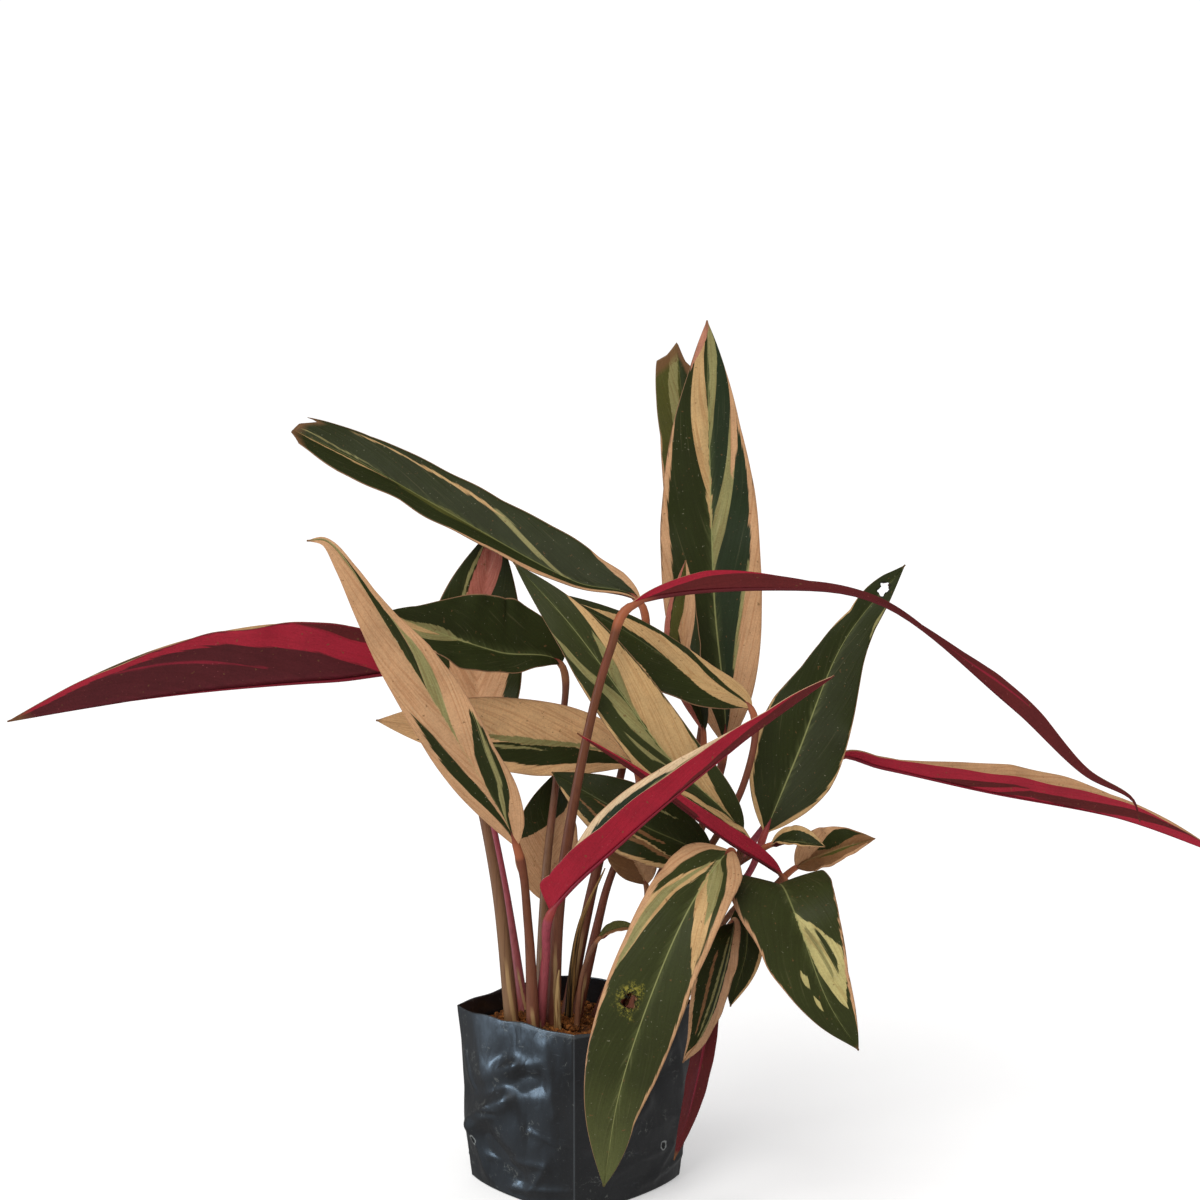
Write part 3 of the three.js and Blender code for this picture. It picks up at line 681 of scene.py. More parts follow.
def leaf(name, girth, half, fold, widest, taper, stalk, midrib, stem="rust", **own):
    """Girth, half widths and the points of stalk and midrib are in mm, and folds in degrees."""
    leaf = dict(usual_leaf, name=name, half=half, fold=fold, widest=widest, taper=taper, **own)
    leaf["seed"] = sum(map(ord, name)) % 40
    foot = [(*stalk[0], foot_height), *stalk[1:]]
    line = smooth_line(foot + midrib)
    joint = path_steps * len(stalk)
    leaf["line"] = line[joint:]
    blade = sheet(name + "_leaf", blade_across, blade_along, blade_place(leaf))
    blade.data.materials.append(blade_finish(leaf, True))
    blade.data.materials.append(blade_finish(leaf, False))
    thicken(blade, blade_thickness, 0, 1)
    seat(blade, name + "_blade")

    stalk_length = np.linalg.norm(np.diff(line[:joint + 1], axis=0), axis=1).sum()
    shares = np.linspace(0.01, rib_share, 60)
    middle, _, normal = blade_frame(leaf, shares)
    stout = rib_girth[sum(fold) >= 90]
    faded = shares / rib_share
    rib_radius = (girth * stout * (1 - faded) ** 1.5 + rib_end * (1 - faded ** 8)) * MM
    depth = rib_radius + rib_sink * math.cos(math.radians(sum(fold) / 2))
    sunk = depth * np.clip(shares / 0.06, 0, 1)
    rib_line = middle - normal * sunk[:, None]
    whole = np.vstack([line[:joint], rib_line])
    total = np.linalg.norm(np.diff(whole, axis=0), axis=1).sum()
    knee = stalk_length / total
    swell = joint_length / total

    def warped(along):
        past = knee + (along - stalk_skin) / (1 - stalk_skin) * (1 - knee)
        return np.where(along < stalk_skin, along / stalk_skin * knee, past)

    def radius(along):
        thick = girth * (1 - stalk_taper * np.clip(along / knee, 0, 1)) * MM
        thick = thick * (1 + joint_swelling * np.exp(-((along - knee + swell) / swell) ** 2))
        thick = thick * (1 + foot_flare * np.clip(1 - along / knee / 0.6, 0, 1))
        past = np.clip((along - knee) / (1 - knee), 0, 1)
        return np.where(along > knee, np.interp(past, faded, rib_radius), thick)

    tube = stalk_place(whole, radius)
    petiole = sheet(name + "_petiole", 14, 100, lambda around, along: tube(around, warped(along)))
    petiole.data.materials.append(stalk_finishes[stem])
    seat(petiole, name + "_stalk")


leaf("tall", 3.2, [33, 31], [6, 8], 0.42, 2.2,
     stalk=[(15, 14), (49, 20, 154), (80, 32, 214)],
     midrib=[(93, 42, 260), (87, 56, 350), (84, 66, 450), (82, 62, 525)],
     face=[(0, -1, 0.1)],
     trim=[(0, 1, 1), (0.6, 1, 0.97), (0.75, 1, 0.9), (0.88, 0.95, 0.92), (1, 1, 1)],
     pattern=[
         right_margin("blue_green", (0, 0), (100, 0)),
         left_margin("peach", (0, -40), (20, -70), (42, -82), (70, -92), (80, -100)),
         right_margin("peach", (0, 10), (15, 30), (35, 60), (42, 72), (50, 80), (62, 86), (75, 92),
             (90, 100)),
         patch("pale", (18, 30, 35), (27, 42, 50), (35, 52, 62), (42, 68, 72)),
         patch("cream", (50, 0, 0), (60, -13, 1), (70, -36, -3), (79, -57, -3), (88, -78, -22),
             (94, -95, -30), (100, -100, -20)),
         patch("pale", (70, 0, 0), (76, 0, 14), (80, 0, 22), (88, 6, 48), (95, 0, 85), (100, -20, 100)),
         patch("pale", (40, 0, 0), (45, 0, 12), (50, 0, 27), (55, 6, 38), (60, 19, 48), (70, 48, 70),
             (80, 78, 90), (88, 100, 100)),
         patch("peach", (64, 50, 54), (70, 56, 76), (78, 72, 95), (86, 92, 100), (92, 100, 100)),
         left_margin("salmon", (90, -90), (95, -30), (97.5, 20), (100, 100)),
     ])
leaf("torn", 2.6, [23, 24], [8, 8], 0.5, 2.6, torn=0.9, ground="olive", rib=0.3, brown_from=0.935,
     stalk=[(18, 30), (50, 54, 159), (77, 84, 244)],
     midrib=[(84, 98, 314), (74, 118, 424), (65, 118, 516)],
     face=[(-0.2, -1, 0), (-0.1, -1, 0.1)],
     torn_edge=[(-1, 0.06), (-0.55, 0.045), (-0.2, 0.02), (0, 0.008), (0.1, 0.02), (0.3, 0.07),
                (1, 0.14)],
     trim=[(0, 1, 1), (0.5, 0.78, 1), (0.7, 0.74, 1), (0.82, 0.86, 1), (0.93, 1, 1), (1, 1, 1)],
     pattern=[
         patch("dark", (0, -50, 80), (50, -45, 50), (75, -10, 60), (100, 0, 50)),
         patch("pale", (40, -30, -30), (60, -42, -25), (90, -50, -10), (100, -40, 0)),
         left_margin("peach", (0, -70), (50, -90), (70, -96), (80, -100)),
     ])
leaf("long_left", 3, [31, 30], [22, 20], 0.5, 3.2, torn=0.93, rib=0.5, brown_from=0.965,
     stalk=[(-8, 8), (9, 10, 170), (33, 32, 268)],
     midrib=[(40, 34, 350), (-1, 48, 362), (-80, 80, 403), (-140, 98, 436), (-186, 105, 458)],
     face=[(0, -0.75, 0.65), (0, -0.6, 0.8)],
     torn_edge=[(-1, 0.05), (-0.45, 0.01), (0, 0.006), (0.5, 0.012), (0.86, 0.05), (1, 0.02)],
     trim=[(0, 0.6, 0.8), (0.06, 0.45, 1.2), (0.15, 0.35, 1.2), (0.3, 0.42, 1), (0.45, 0.5, 0.84),
           (0.65, 0.6, 0.8), (0.82, 0.95, 0.73), (1, 1, 0.9)],
     pattern=[
         patch("olive", (40, -10, 0), (55, -35, 5), (68, -20, 0), (72, 0, 0)),
         patch("cream", (70, -5, -4), (82, -25, -17), (95, -22, -12), (100, -10, 0)),
         patch("pale", (75, 2, 3), (87, 6, 10), (97, 20, 26), (100, 20, 20)),
         patch("pale", (20, -2, 2), (30, 17, 30), (40, 45, 58), (46, 62, 70), (50, 70, 70)),
         patch("cream", (44, 62, 64), (50, 64, 74), (60, 70, 78), (72, 75, 80), (85, 82, 86),
             (92, 90, 90)),
         left_margin("peach", (0, -60), (30, -75), (55, -100)),
         right_margin("peach", (0, 30), (5, 50), (12, 85), (20, 100)),
     ])
leaf("peach", 3.2, [18, 18], [10, 14], 0.4, 2.2, ground="peach", rib=0.25,
     stalk=[(-24, -38), (-27, -48, 167)],
     midrib=[(-33, -62, 216), (-66, -95, 285), (-97, -110, 340), (-122, -112, 381), (-135, -106, 394),
             (-146, -102, 394)],
     face=[(-0.3, -1, 0.2), (0.2, -1, 0.3)],
     trim=[(0, 1, 1.2), (0.06, 1, 1.4), (0.14, 1, 1.25), (0.3, 1, 1), (0.5, 1, 1), (0.6, 1, 0.9),
           (0.7, 1, 0.58), (0.78, 1, 0.4), (0.86, 1, 0.36), (0.94, 1, 0.5), (1, 1, 1)],
     pattern=[
         patch("dark", (3, -20, 0), (12, -46, -15), (20, -65, -25), (30, -76, -42), (40, -80, -60),
             (49, -84, -84)),
         patch("dark", (50, 0, 0), (55, 0, 13), (60, 0, 30), (70, 0, 55), (80, 5, 44), (86, 25, 42),
             (92, 42, 42)),
         patch("pale", (34, 0, 0), (40, 0, 12), (50, 0, 42), (55, 14, 56), (60, 30, 62), (65, 45, 60),
             (72, 56, 56)),
         patch("pale", (79, 0, 0), (85, -2, 20), (92, -10, 40), (100, -30, 50)),
         patch("dark", (3, 0, 10), (10, -2, 28), (15, -5, 60), (20, -2, 75), (25, 10, 85), (30, 25, 90),
             (35, 50, 92), (42, 86, 86)),
         patch("pale", (8, 0, 8), (15, 18, 38), (20, 42, 58), (30, 66, 80), (38, 84, 90), (42, 90, 90)),
     ])
leaf("crimson_left", 3.4, [38, 34], [66, 84], 0.4, 1.8, ground="blue_green", stem="olive",
     brown_from=0.94,
     stalk=[(-36, -24), (-47, -26, 189), (-65, -22, 269)],
     midrib=[(-80, -30, 311), (-140, -56, 312), (-216, -85, 308), (-267, -105, 302), (-308, -118, 296)],
     face=[(0, 0.05, 1)],
     pattern=[
         left_margin("cream", (0, 0), (14, -2), (20, -25), (30, -50), (40, -62), (50, -76), (62, -84),
             (80, -86), (92, -70), (100, -60)),
         left_margin("dark", (12, -68), (22, -72), (30, -88), (37, -100)),
         patch("pale", (42, -30, -28), (55, -50, -46), (70, -75, -70), (80, -90, -90)),
         right_margin("cream", (0, 0), (30, 50), (50, 80), (70, 100)),
     ])
leaf("arching", 3.4, [17, 15], [68, 70], 0.4, 1.5, brown_from=0.99,
     stalk=[(-14, -23), (-9, -36, 179), (9, -56, 286), (21, -60, 330)],
     midrib=[(32, -54, 354), (121, -30, 363), (181, -18, 353), (262, -4, 290), (309, 2, 247),
             (339, 5, 231), (344, 6, 218)],
     face=[(0, 0, 1), (0, 0.83, 0.56), (0, 0.97, 0.26), (0, 0.1, 1), (0, 0, 1)],
     trim=[(0, 0.8, 1), (0.13, 0.8, 1.1), (0.22, 0.4, 0.75), (0.3, 0.2, 0.4), (0.5, 0.2, 0.3),
           (0.58, 0.5, 0.6), (0.65, 0.8, 1), (0.75, 1, 1.15), (0.85, 1, 1), (1, 1, 1)],
     pattern=[
         right_margin("cream", (0, 0), (3, 10), (8, 50), (14, 72), (20, 88), (26, 100)),
         left_margin("cream", (0, 0), (10, -60), (16, -90), (20, -100)),
         patch("pale", (56, 40, 44), (64, 50, 66), (72, 70, 74)),
     ])
leaf("folded_front", 3.2, [19, 27], [84, 62], 0.38, 1.6, ground="bright", stem="pink", brown_from=0.985,
     stalk=[(-23, -29), (-17, -44, 145)],
     midrib=[(-13, -62, 178), (29, -84, 225), (93, -98, 281), (146, -88, 318)],
     face=[(0.05, 0.1, 1), (0, 0.1, 1)],
     trim=[(0, 0.8, 1.6), (0.04, 1, 1.7), (0.08, 1.1, 1), (0.13, 1.1, 0.78), (0.28, 1.18, 0.55),
           (0.45, 1.05, 0.5), (0.6, 0.85, 0.5), (0.8, 0.6, 0.6), (1, 0.8, 1)],
     pattern=[
         patch("dark", (42, 0, 0), (60, 0, 20), (70, 0, 38), (80, 0, 62), (90, 0, 90), (100, 0, 100)),
         patch("blue_green", (16, -50, -50), (24, -80, -40), (34, -84, -30), (48, -80, -30),
             (58, -70, -30), (66, -60, -50)),
         patch("pale", (30, -62, -60), (42, -66, -56), (56, -80, -66), (66, -80, -80)),
         patch("dark", (50, -30, -30), (64, -50, -34), (78, -50, -50)),
     ])
leaf("centre", 2.8, [19, 20], [8, 10], 0.42, 2, ground="fresh",
     stalk=[(8, -8), (54, -8, 150), (92, -12, 187)],
     midrib=[(99, -22, 215), (55, -44, 265), (-1, -42, 341), (-36, -24, 378)],
     face=[(0.1, -1, 0.2), (-0.1, -1, 0.3)],
     pattern=[
         patch("pale", (30, 0, 0), (35, -15, -3), (40, -30, -5), (45, -42, -5), (50, -45, -4),
             (55, -46, -15), (60, -62, -36), (70, -92, -70), (77, -100, -96)),
         patch("pale", (30, -20, -20), (35, -46, -34), (40, -58, -50), (46, -68, -68)),
         left_margin("cream", (0, 0), (10, -20), (20, -55), (30, -78), (45, -90), (62, -97), (70, -100)),
         patch("pale", (44, 0, 0), (50, 0, 18), (55, 0, 28), (60, 5, 42), (66, 25, 50), (72, 50, 50)),
         patch("cream", (4, 0, 0), (10, -5, 10), (15, 0, 30), (20, 0, 50), (25, 0, 75), (30, 0, 90),
             (40, 0, 95), (50, 8, 95), (60, 40, 92), (70, 55, 90), (78, 75, 97), (84, 100, 100)),
     ])
leaf("centre_right", 2.8, [24, 22], [16, 14], 0.45, 2, rib=0.2,
     stalk=[(18, 2), (62, -2, 171), (103, 0, 245)],
     midrib=[(107, 8, 287), (76, 10, 304), (27, 14, 336), (-17, 18, 358)],
     face=[(-0.1, -0.8, 0.6), (0, -0.8, 0.6)],
     trim=[(0, 1, 0.8), (0.3, 1, 0.6), (0.8, 1, 0.5), (1, 1, 0.5)],
     pattern=[
         left_margin("cream", (36, -100), (45, -86), (50, -72), (60, -63), (70, -50), (75, -42),
             (82, -20), (88, 10), (100, 30)),
         patch("cream", (0, -100, 0), (10, -70, 0), (20, -40, 30), (30, -15, 60), (40, 0, 70),
             (50, 10, 80), (60, 16, 76), (70, 24, 66), (80, 30, 40), (86, 30, 30)),
         patch("dark", (4, -20, 0), (10, 0, 20), (20, 34, 60), (30, 62, 82), (40, 74, 80), (46, 80, 80)),
         right_margin("cream", (0, 0), (10, 20), (20, 62), (30, 84), (38, 100)),
     ])
leaf("broad_left", 2.8, [29, 34], [20, 16], 0.35, 1.8, rib=0.7, stem="olive",
     stalk=[(-22, -8), (-18, 4, 185), (-10, 24, 262)],
     midrib=[(-9, 14, 314), (-45, -8, 323), (-85, -32, 339), (-110, -44, 350)],
     face=[(-0.1, -0.7, 0.5), (-0.1, -0.8, 0.4)],
     trim=[(0, 0.5, 1.5), (0.08, 0.5, 1.12), (0.2, 0.52, 1.1), (0.36, 0.6, 1), (0.6, 0.9, 1),
           (0.86, 1, 0.85), (1, 1, 1)],
     pattern=[
         patch("pale", (52, -2, 0), (60, -6, 3), (65, -20, 10), (70, -35, 16), (80, -65, 16),
             (88, -80, 5), (95, -100, 0), (100, -100, 0)),
         patch("cream", (70, -10, -10), (80, -35, -5), (88, -50, 0), (95, -80, 10), (100, -100, 0)),
         left_margin("peach", (72, -100), (80, -80), (87, -60), (95, -30), (100, 0)),
     ])
leaf("upright_back", 2.6, [32, 30], [8, 8], 0.5, 1.8, rib=0, stem="pink",
     stalk=[(-30, 14), (-43, 36, 163)],
     midrib=[(-58, 60, 238), (-64, 80, 316), (-52, 84, 396)],
     face=[(0, -1, 0.1), (0, -1, 0.3)],
     pattern=[
         patch("peach", (5, -10, 10), (30, -50, 60), (42, -60, 70), (55, -50, 30), (72, -42, 17)),
         patch("pink", (55, -20, 10), (65, -45, 20), (72, -40, 20), (80, -44, 43), (90, -50, 75),
             (100, -60, 90)),
         patch("pale", (50, -60, -60), (70, -55, -46), (85, -62, -50), (100, -70, -60)),
     ])
# Its ground is painted light: the cream lightened against the shade of the leaves over it.
leaf("cream", 2.8, [22, 24], [8, 8], 0.45, 1.9, ground="lit_cream", rib=0.15,
     stalk=[(-3, -4), (17, 6, 169)],
     midrib=[(37, 22, 248), (-45, -2, 272), (-117, -30, 285)],
     face=[(0, -1, 0.25)],
     pattern=[
         patch("dark", (0, -50, -10), (10, -60, -15), (30, -68, -14), (50, -75, -18), (65, -86, -30),
             (78, -90, -55), (86, -90, -90)),
         patch("pale", (5, -10, -2), (30, -14, 2), (50, -18, 3), (62, -10, -5), (70, -5, -5)),
         patch("pale", (35, -30, -30), (45, -30, -22), (58, -42, -34), (66, -50, -50)),
     ])
leaf("broad_right", 2.8, [30, 25], [8, 8], 0.36, 1.8, stem="pink",
     stalk=[(17, -14), (64, -12, 146), (105, 2, 186)],
     midrib=[(116, 8, 211), (136, 22, 255), (168, 46, 325), (207, 56, 372)],
     face=[(-0.1, -1, 0.15), (0, -1, 0.2)],
     trim=[(0, 1, 1.1), (0.1, 1, 1.2), (0.2, 1, 1.2), (0.3, 1, 1.1), (0.42, 0.88, 1.03),
           (0.54, 0.65, 0.96), (0.63, 0.56, 0.9), (0.77, 0.5, 0.86), (0.86, 0.85, 0.95),
           (0.93, 1.1, 0.9), (1, 1, 0.8)],
     holes=[(0.89, -0.1, (0.02, 0.2), 0)],
     pattern=[
         left_margin("cream", (0, -50), (10, -86), (30, -90), (40, -97), (50, -100)),
         left_margin("cream", (68, -100), (76, -88), (82, -100)),
         right_margin("cream", (0, 60), (15, 93), (40, 97), (50, 100)),
         patch("pale", (72, 93, 93), (80, 78, 95), (88, 90, 90)),
     ])
leaf("hanging_front", 3, [28, 26], [6, 6], 0.48, 2.2, ground="fresh", brown_from=0.99,
     fade=(0.7, "moss"),
     stalk=[(27, -24), (46, -28, 140), (91, -48, 198)],
     midrib=[(90, -64, 214), (65, -112, 193), (45, -126, 152), (26, -130, 95), (17, -122, 38)],
     face=[(0, -0.6, 0.8), (0, -1, -0.05)],
     trim=[(0, 1, 2), (0.04, 1, 2.2), (0.12, 1.1, 1.55), (0.2, 0.9, 1.22), (0.3, 0.78, 1.05),
           (0.4, 0.72, 0.98), (0.7, 0.73, 1), (0.82, 0.67, 1), (1, 1, 1)],
     holes=[(0.532, 0.4, (0.018, 0.07), 1)],
     pattern=[
         patch("cream", (10, -5, 5), (15, -35, 4), (20, -50, 2), (24, -62, -5), (30, -76, -30),
             (35, -84, -50), (42, -90, -90)),
         patch("pale", (9, -10, 6), (14, -40, 3), (19, -56, -12), (24, -66, -42), (30, -66, -66)),
         patch("cream", (10, 8, 10), (15, 12, 32), (20, 24, 56), (25, 42, 72), (30, 50, 92),
             (37, 66, 100), (44, 80, 100), (50, 100, 100)),
         patch("pale", (12, 14, 20), (20, 34, 46), (26, 48, 68), (32, 60, 84), (38, 70, 88),
             (46, 86, 90)),
         left_margin("peach", (0, 20), (5, -20), (10, -40), (20, -72), (35, -88), (60, -95), (78, -92),
             (88, -100)),
         right_margin("peach", (0, -20), (6, 50), (16, 72), (25, 86), (50, 90), (65, 96), (80, 100)),
     ])
leaf("hanging_right", 3, [36, 26], [10, 16], 0.36, 1.7, ground="fresh", rib=0.6, stem="pink",
     stalk=[(38, -6), (46, -8, 118), (84, -8, 134), (110, -24, 152)],
     midrib=[(115, -34, 177), (119, -62, 194), (125, -90, 183), (142, -102, 137), (160, -100, 108)],
     face=[(0, -0.2, 1), (0, -1, 0.05)],
     trim=[(0, 1, 1), (0.2, 0.85, 1.15), (0.36, 0.72, 1.38), (0.5, 0.68, 1.3), (0.7, 0.72, 1.2),
           (0.85, 0.9, 1.1), (1, 1, 1)],
     pattern=[
         patch("butter", (42, 0, 0), (46, -12, 0), (50, -36, 0), (55, -62, -2), (60, -90, -4),
             (66, -94, -10), (70, -92, -20), (75, -84, -30), (80, -72, -44), (84, -66, -66)),
         patch("fresh", (50, -30, -30), (56, -52, -38), (64, -70, -56), (70, -70, -70)),
         patch("pale", (50, -16, -10), (58, -36, -24), (66, -50, -40), (72, -50, -50)),
         patch("butter", (75, 30, 42), (76.5, 28, 44), (78, 32, 42)),
         patch("butter", (65, 30, 42), (67, 26, 44), (69, 30, 40)),
         left_margin("peach", (40, -98), (60, -96), (75, -88), (88, -90), (96, -100)),
         right_margin("peach", (0, 70), (20, 90), (60, 96), (80, 100)),
     ])
leaf("narrow_folded", 2.4, [14, 12], [80, 50], 0.3, 1.7, ground="cream", rib=0.2,
     stalk=[(42, -16), (48, -18, 118), (84, -22, 142), (126, -22, 180)],
     midrib=[(123, -30, 192), (88, -48, 218), (32, -62, 261), (2, -70, 283)],
     face=[(-0.3, 0.1, 1), (0, 0, 1)],
     trim=[(0, 0.7, 0.7), (0.1, 0.6, 0.9), (0.2, 0.6, 1.7), (0.5, 0.5, 1.2), (0.8, 0.5, 0.7),
           (1, 0.6, 0.6)],
     pattern=[
         patch("dark", (0, 10, 60), (20, 15, 72), (50, 20, 70), (75, 40, 50)),
         patch("dark", (45, -30, 0), (60, -50, 0), (80, -70, 0), (95, -50, 0)),
     ])
leaf("hanging_peach", 2.2, [11, 14], [26, 26], 0.45, 1.8, rib=0.3, stem="olive",
     stalk=[(35, -27), (42, -32, 120), (74, -42, 140)],
     midrib=[(92, -60, 172), (89, -76, 166), (72, -88, 113), (62, -87, 97)],
     face=[(-0.4, -1, 0.1), (-0.6, -0.8, -0.3)],
     pattern=[
         left_margin("peach", (0, -30), (30, -45), (60, -50), (80, -30), (90, 20), (100, 100)),
         patch("pale", (10, -30, -24), (40, -38, -26), (70, -40, -26), (84, -20, 0)),
         patch("pale", (20, -2, 6), (50, -4, 8), (80, 10, 16)),
         patch("brown", (30, 32, 42), (60, 26, 40), (80, 34, 42)),
         right_margin("peach", (0, 70), (40, 85), (100, 70)),
     ])
leaf("hanging_dark", 2.2, [12, 14], [20, 20], 0.45, 1.9, stem="olive",
     stalk=[(48, 2), (54, 0, 120), (78, -4, 142)],
     midrib=[(99, -28, 174), (101, -46, 153), (91, -54, 120)],
     face=[(0.2, -1, 0), (0, -1, -0.2)],
     trim=[(0, 0.8, 1), (1, 0.8, 1)],
     pattern=[
         left_margin("cream", (10, -95), (50, -80), (80, -82), (100, -50)),
     ])
leaf("hanging_red", 2, [8, 7.5], [30, 30], 0.4, 2, rib=0.5, stem="pink", brown_from=0.93,
     stalk=[(50, -8), (56, -12, 116), (72, -24, 122)],
     midrib=[(81, -38, 126), (75, -62, 97), (67, -68, 63), (58, -64, 32)],
     face=[(0.2, 0.9, 0.3), (0.2, 1, 0)])
leaf("small_right", 2.2, [10, 9], [30, 30], 0.45, 1.9,
     stalk=[(32, 6), (66, 8, 160)],
     midrib=[(118, -14, 208), (132, -26, 212), (148, -32, 210)],
     face=[(0, -0.6, 0.8)],
     pattern=[
         left_margin("cream", (0, -30), (25, -60), (50, -72), (100, -60)),
         right_margin("cream", (0, 30), (30, 66), (70, 80), (100, 70)),
         patch("pale", (10, 10, 20), (40, 20, 34), (70, 24, 34), (90, 20, 20)),
     ])
leaf("side_right", 2.4, [16, 12], [40, 20], 0.42, 1.8, ground="brown", rib=0.4,
     stalk=[(43, 12), (50, 13, 120), (92, 10, 147)],
     midrib=[(134, 0, 191), (156, -12, 204), (179, -22, 213)],
     face=[(-0.2, -0.8, 0.6)],
     pattern=[
         left_margin("peach", (0, -20), (20, -10), (35, -30), (50, -60), (68, -94), (75, -100)),
         patch("dark", (35, -30, -20), (45, -50, -12), (60, -86, -20), (75, -95, -45), (86, -90, -80),
             (92, -80, -80)),
         patch("olive", (30, 20, 20), (50, 5, 30), (80, 0, 20), (100, 0, 10)),
         right_margin("peach", (30, 90), (60, 84), (90, 60)),
     ])
leaf("narrow_upright", 2.4, [13, 13], [30, 30], 0.5, 2, rib=0.2,
     stalk=[(9, 22), (40, 18, 158), (73, 22, 230)],
     midrib=[(79, 26, 270), (67, 34, 321), (68, 36, 376)],
     face=[(-0.2, -1, 0), (-0.2, -1, 0.1)],
     pattern=[
         left_margin("pink", (0, -50), (50, -75), (80, -75), (100, -60)),
         patch("olive", (30, -60, 20), (55, -75, -30), (70, -70, 0), (85, -60, 25), (100, -50, 30)),
         patch("peach", (20, 0, 50), (50, -10, 40), (60, -30, 65), (70, 0, 90), (85, 25, 100),
             (100, 30, 100)),
     ])
leaf("striped_low", 2.6, [24, 21], [12, 10], 0.45, 1.8, rib=0.3,
     stalk=[(26, -17), (60, -22, 147)],
     midrib=[(80, -18, 196), (39, -22, 222), (-14, -10, 251)],
     face=[(0, -0.9, 0.5), (0, -0.9, 0.4)],
     pattern=[
         patch("brown", (20, -75, -70), (40, -55, -42), (60, -60, -50), (80, -50, -45)),
         patch("cream", (24, -62, -60), (40, -42, -36), (50, -40, -36), (70, -40, -40)),
         patch("brown", (30, -30, -24), (45, -26, -14), (60, -20, -10), (75, -10, -10)),
         patch("pale", (25, 62, 62), (35, 55, 62), (45, 50, 55), (50, 52, 52)),
         left_margin("cream", (0, -80), (50, -92), (90, -80)),
     ])
leaf("low_brown", 2.2, [14, 14], [10, 10], 0.35, 1.9, ground="brown", rib=0.2, stem="olive",
     stalk=[(30, 14), (41, 10, 146)],
     midrib=[(43, 2, 180), (30, 0, 204), (6, 4, 227)],
     face=[(0, -1, 0.3), (0, -1, 0.4)],
     pattern=[
         patch("peach", (0, -20, 100), (30, -10, 70), (55, -20, 20), (70, 0, 0)),
         patch("dark", (40, 30, 50), (60, 0, 100), (100, -100, 100)),
     ])
leaf("low_back", 2.4, [20, 20], [10, 10], 0.45, 1.9, ground="peach", rib=0.1, stem="pink",
     stalk=[(-12, 16), (-16, 12, 137)],
     midrib=[(-18, 12, 167), (-18, 20, 204), (-14, 30, 243)],
     face=[(0, -1, 0.2), (0, -1, 0.3)],
     pattern=[
         left_margin("dark", (50, -60), (60, 0), (80, 100), (100, 100)),
         left_margin("peach", (0, -70), (50, -80), (60, -100)),
     ])
leaf("long_right", 3, [17, 19], [70, 48], 0.55, 1.9, ground="cream", stem="pink", brown_from=0.995,
     stalk=[(32, 24), (40, 30, 120), (91, 46, 173)],
     midrib=[(165, 60, 249), (195, 62, 243), (261, 66, 227), (346, 60, 210), (410, 50, 188)],
     face=[(0, 0.15, 1), (0, 0.1, 1)],
     trim=[(0, 1.6, 1.6), (0.04, 1.2, 1.2), (0.1, 0.8, 0.8), (0.16, 0.66, 0.66), (0.22, 0.78, 0.72),
           (0.32, 1, 0.82), (0.45, 1.25, 0.88), (0.58, 1.15, 0.9), (0.7, 0.95, 0.9), (0.85, 1, 1),
           (1, 1, 1)],
     pattern=[
         patch("dark", (24, 0, 0), (34, 0, 36), (40, 20, 50), (46, 44, 56), (50, 50, 50)),
         patch("dark", (42, 0, 5), (50, 10, 40), (60, 0, 42), (70, 8, 60), (80, 34, 82), (90, 80, 100),
             (95, 100, 100)),
         left_margin("peach", (0, 0), (100, 0)),
     ])
leaf("youngest", 1.6, [5, 5], [20, 20], 0.4, 1.8, ground="olive", stem="olive", brown_from=0.9,
     stalk=[(0, -26), (5, -30, 135)],
     midrib=[(15, -34, 156), (27, -42, 164), (38, -44, 164)],
     face=[(0, -0.6, 0.8)],
     pattern=[
         right_margin("brown", (0, 20), (50, 30), (100, 0)),
     ])


# ---- Furled leaf and husks --------------------------------------------------------------------
# The next leaf rises rolled up as a spear, and dry and fresh husks wrap the feet of the stalks
# where the young shoots come out of the soil.

def spear(name, girth, drawn, line, material):
    path = smooth_line([(*line[0], foot_height), *line[1:]])
    rolled = stalk_place(path, lambda along: girth * (1 - drawn * along ** 2) * MM)
    piece = sheet(name + "_roll", 14, 60, rolled)
    piece.data.materials.append(material)
    seat(piece, name)


def husk_finish(name, pale, dark):
    finish = Finish(name, dark, Specular_IOR_Level=0.2, Roughness=0.6)
    around, along = finish.uv()
    wrap = finish.cloud(finish.point(around * 9 + along * 2.5, along * 1.5, 1), 1, 3, 0.6)
    finish.paint(wrap.above(0.44, 0.12), pale)
    finish.relief(wrap, 0.8 * MM, 0.7)
    return finish.material


spear("furled_leaf", 2.6, 0.85, [(-6, -12), (3, -22, 160), (18, -26, 196)],
      husk_finish("furled_leaf", light(150, 112, 62), light(44, 34, 20)))
spear("dry_sheath", 2.6, 0.8, [(-10, -34), (-10, -37, 126), (-9, -39, 138)],
      husk_finish("dry_husk", light(176, 146, 98), light(110, 78, 46)))
spear("pink_sheath", 2.8, 0.8, [(-13, -13), (-13, -15, 128), (-11, -16, 143)],
      husk_finish("pink_husk", light(164, 92, 96), light(110, 44, 56)))


# ---- Studio -----------------------------------------------------------------------------------
# A wide pale floor under an even white sky, with one soft sun from the upper left front. Pale blue
# windows at the left shine in the gloss of the film.

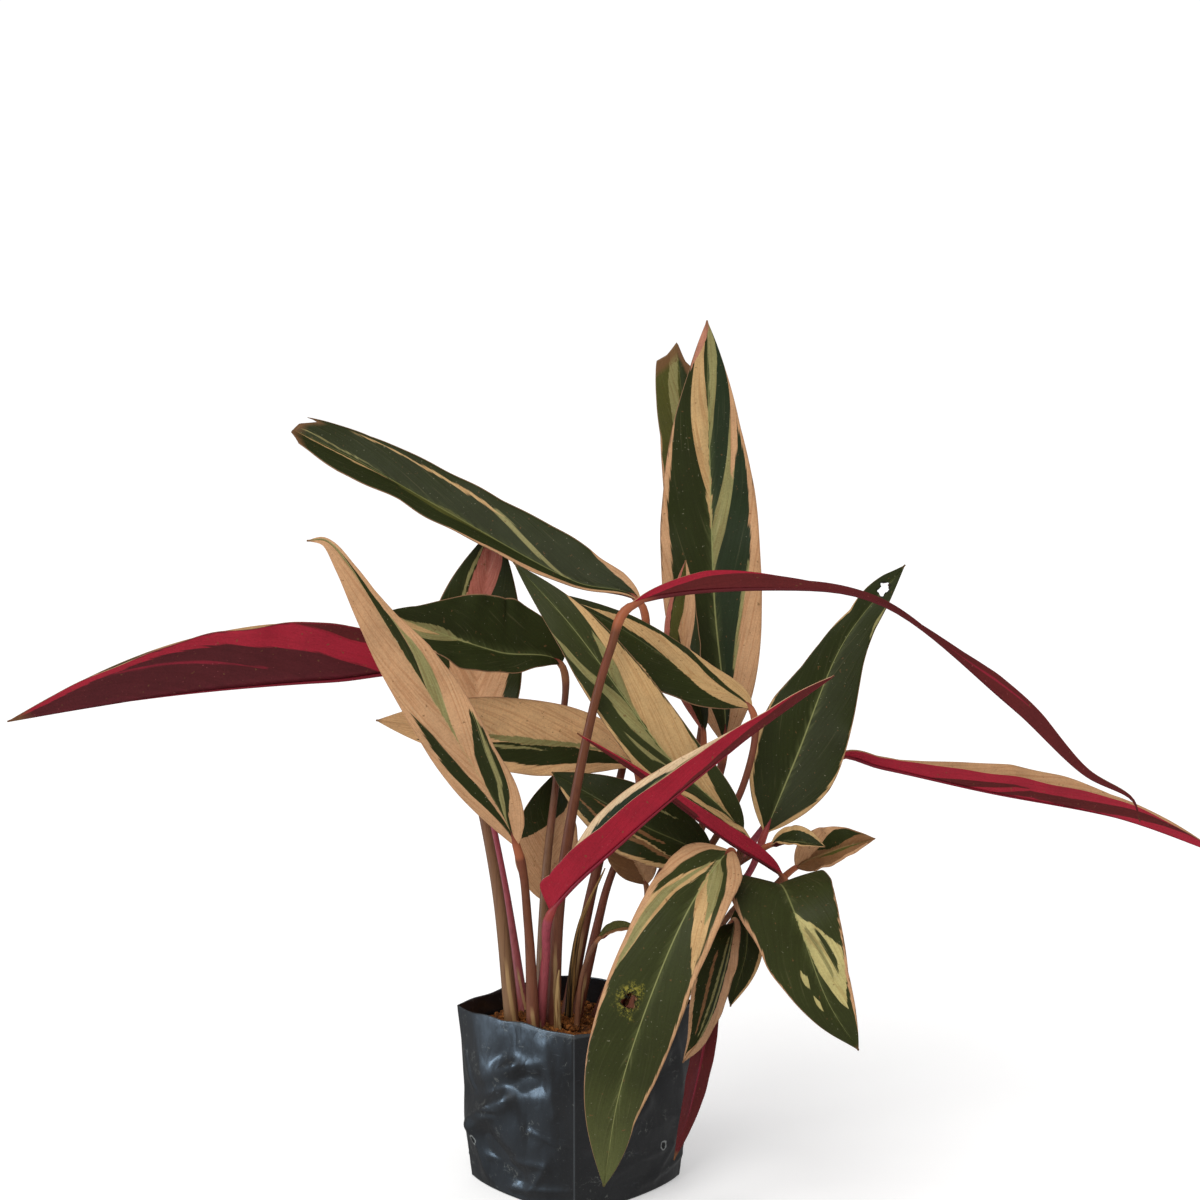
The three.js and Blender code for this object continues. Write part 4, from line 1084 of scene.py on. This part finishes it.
sky_light = 0.6
sky_seen_more = 0.45
sky_gloss_less = 0.45
window_blue = (0.56, 0.77, 1)
bpy.ops.object.select_all(action="DESELECT")
bpy.ops.mesh.primitive_circle_add(vertices=96, radius=120, fill_type="NGON", location=(0, 0, -0.0005))
floor = bpy.context.object
floor.name = "studio_floor"
floor_finish = Finish("studio_floor", light(238, 238, 238), Roughness=0.9,
                      Emission_Color=(1, 1, 1, 1), Emission_Strength=0.3)
floor.data.materials.append(floor_finish.material)
floor.visible_glossy = False
floor.visible_shadow = False

scene = bpy.context.scene
scene.view_settings.view_transform = "Standard"
surround = bpy.data.worlds.new("surround")
scene.world = surround
surround.use_nodes = True
sky = surround.node_tree
ray = sky.nodes.new("ShaderNodeLightPath")
seen = sky.nodes.new("ShaderNodeMath")
seen.operation = "MULTIPLY_ADD"
seen.inputs[1].default_value = sky_seen_more
seen.inputs[2].default_value = sky_light
strength = sky.nodes.new("ShaderNodeMath")
strength.operation = "MULTIPLY_ADD"
strength.inputs[1].default_value = -sky_gloss_less
sky.links.new(ray.outputs["Is Camera Ray"], seen.inputs[0])
sky.links.new(ray.outputs["Is Glossy Ray"], strength.inputs[0])
sky.links.new(seen.outputs[0], strength.inputs[2])
sky.links.new(strength.outputs[0], sky.nodes["Background"].inputs["Strength"])
sky.nodes["Background"].inputs["Color"].default_value = (1, 1, 1, 1)


def lamp(name, kind, place, aim, power, colour):
    bpy.ops.object.light_add(type=kind, location=place)
    light_source = bpy.context.object
    light_source.name = name
    light_source.data.energy = power
    light_source.data.color = colour
    light_source.rotation_euler = (Vector(aim) - Vector(place)).to_track_quat("-Z", "Y").to_euler()
    return light_source


soft_sun = lamp("soft_sun", "SUN", (-1, -1.7, 2.2), (0, 0, 0.2), 1.8, (1, 0.99, 0.97))
soft_sun.data.angle = math.radians(50)
for name, place, size, power in (
    ("low_window", (-1.6, -0.1, -0.35), 1.4, 1.5),
    ("wide_window", (-1.6, -0.5, 0.45), 0.8, 4),
    ("bright_window", (-1.4, -0.2, 0.16), 0.34, 5),
):
    window = lamp(name, "AREA", place, (0, 0, 0.06), power, window_blue)
    window.data.size = size
    window.visible_diffuse = False
    window.visible_camera = False

bpy.ops.object.camera_add(location=(0.015, -1.2, 0.442), rotation=(math.radians(85.8), 0, 0))
camera = bpy.context.object
camera.data.lens = 60
camera.data.sensor_width = 36
scene.camera = camera
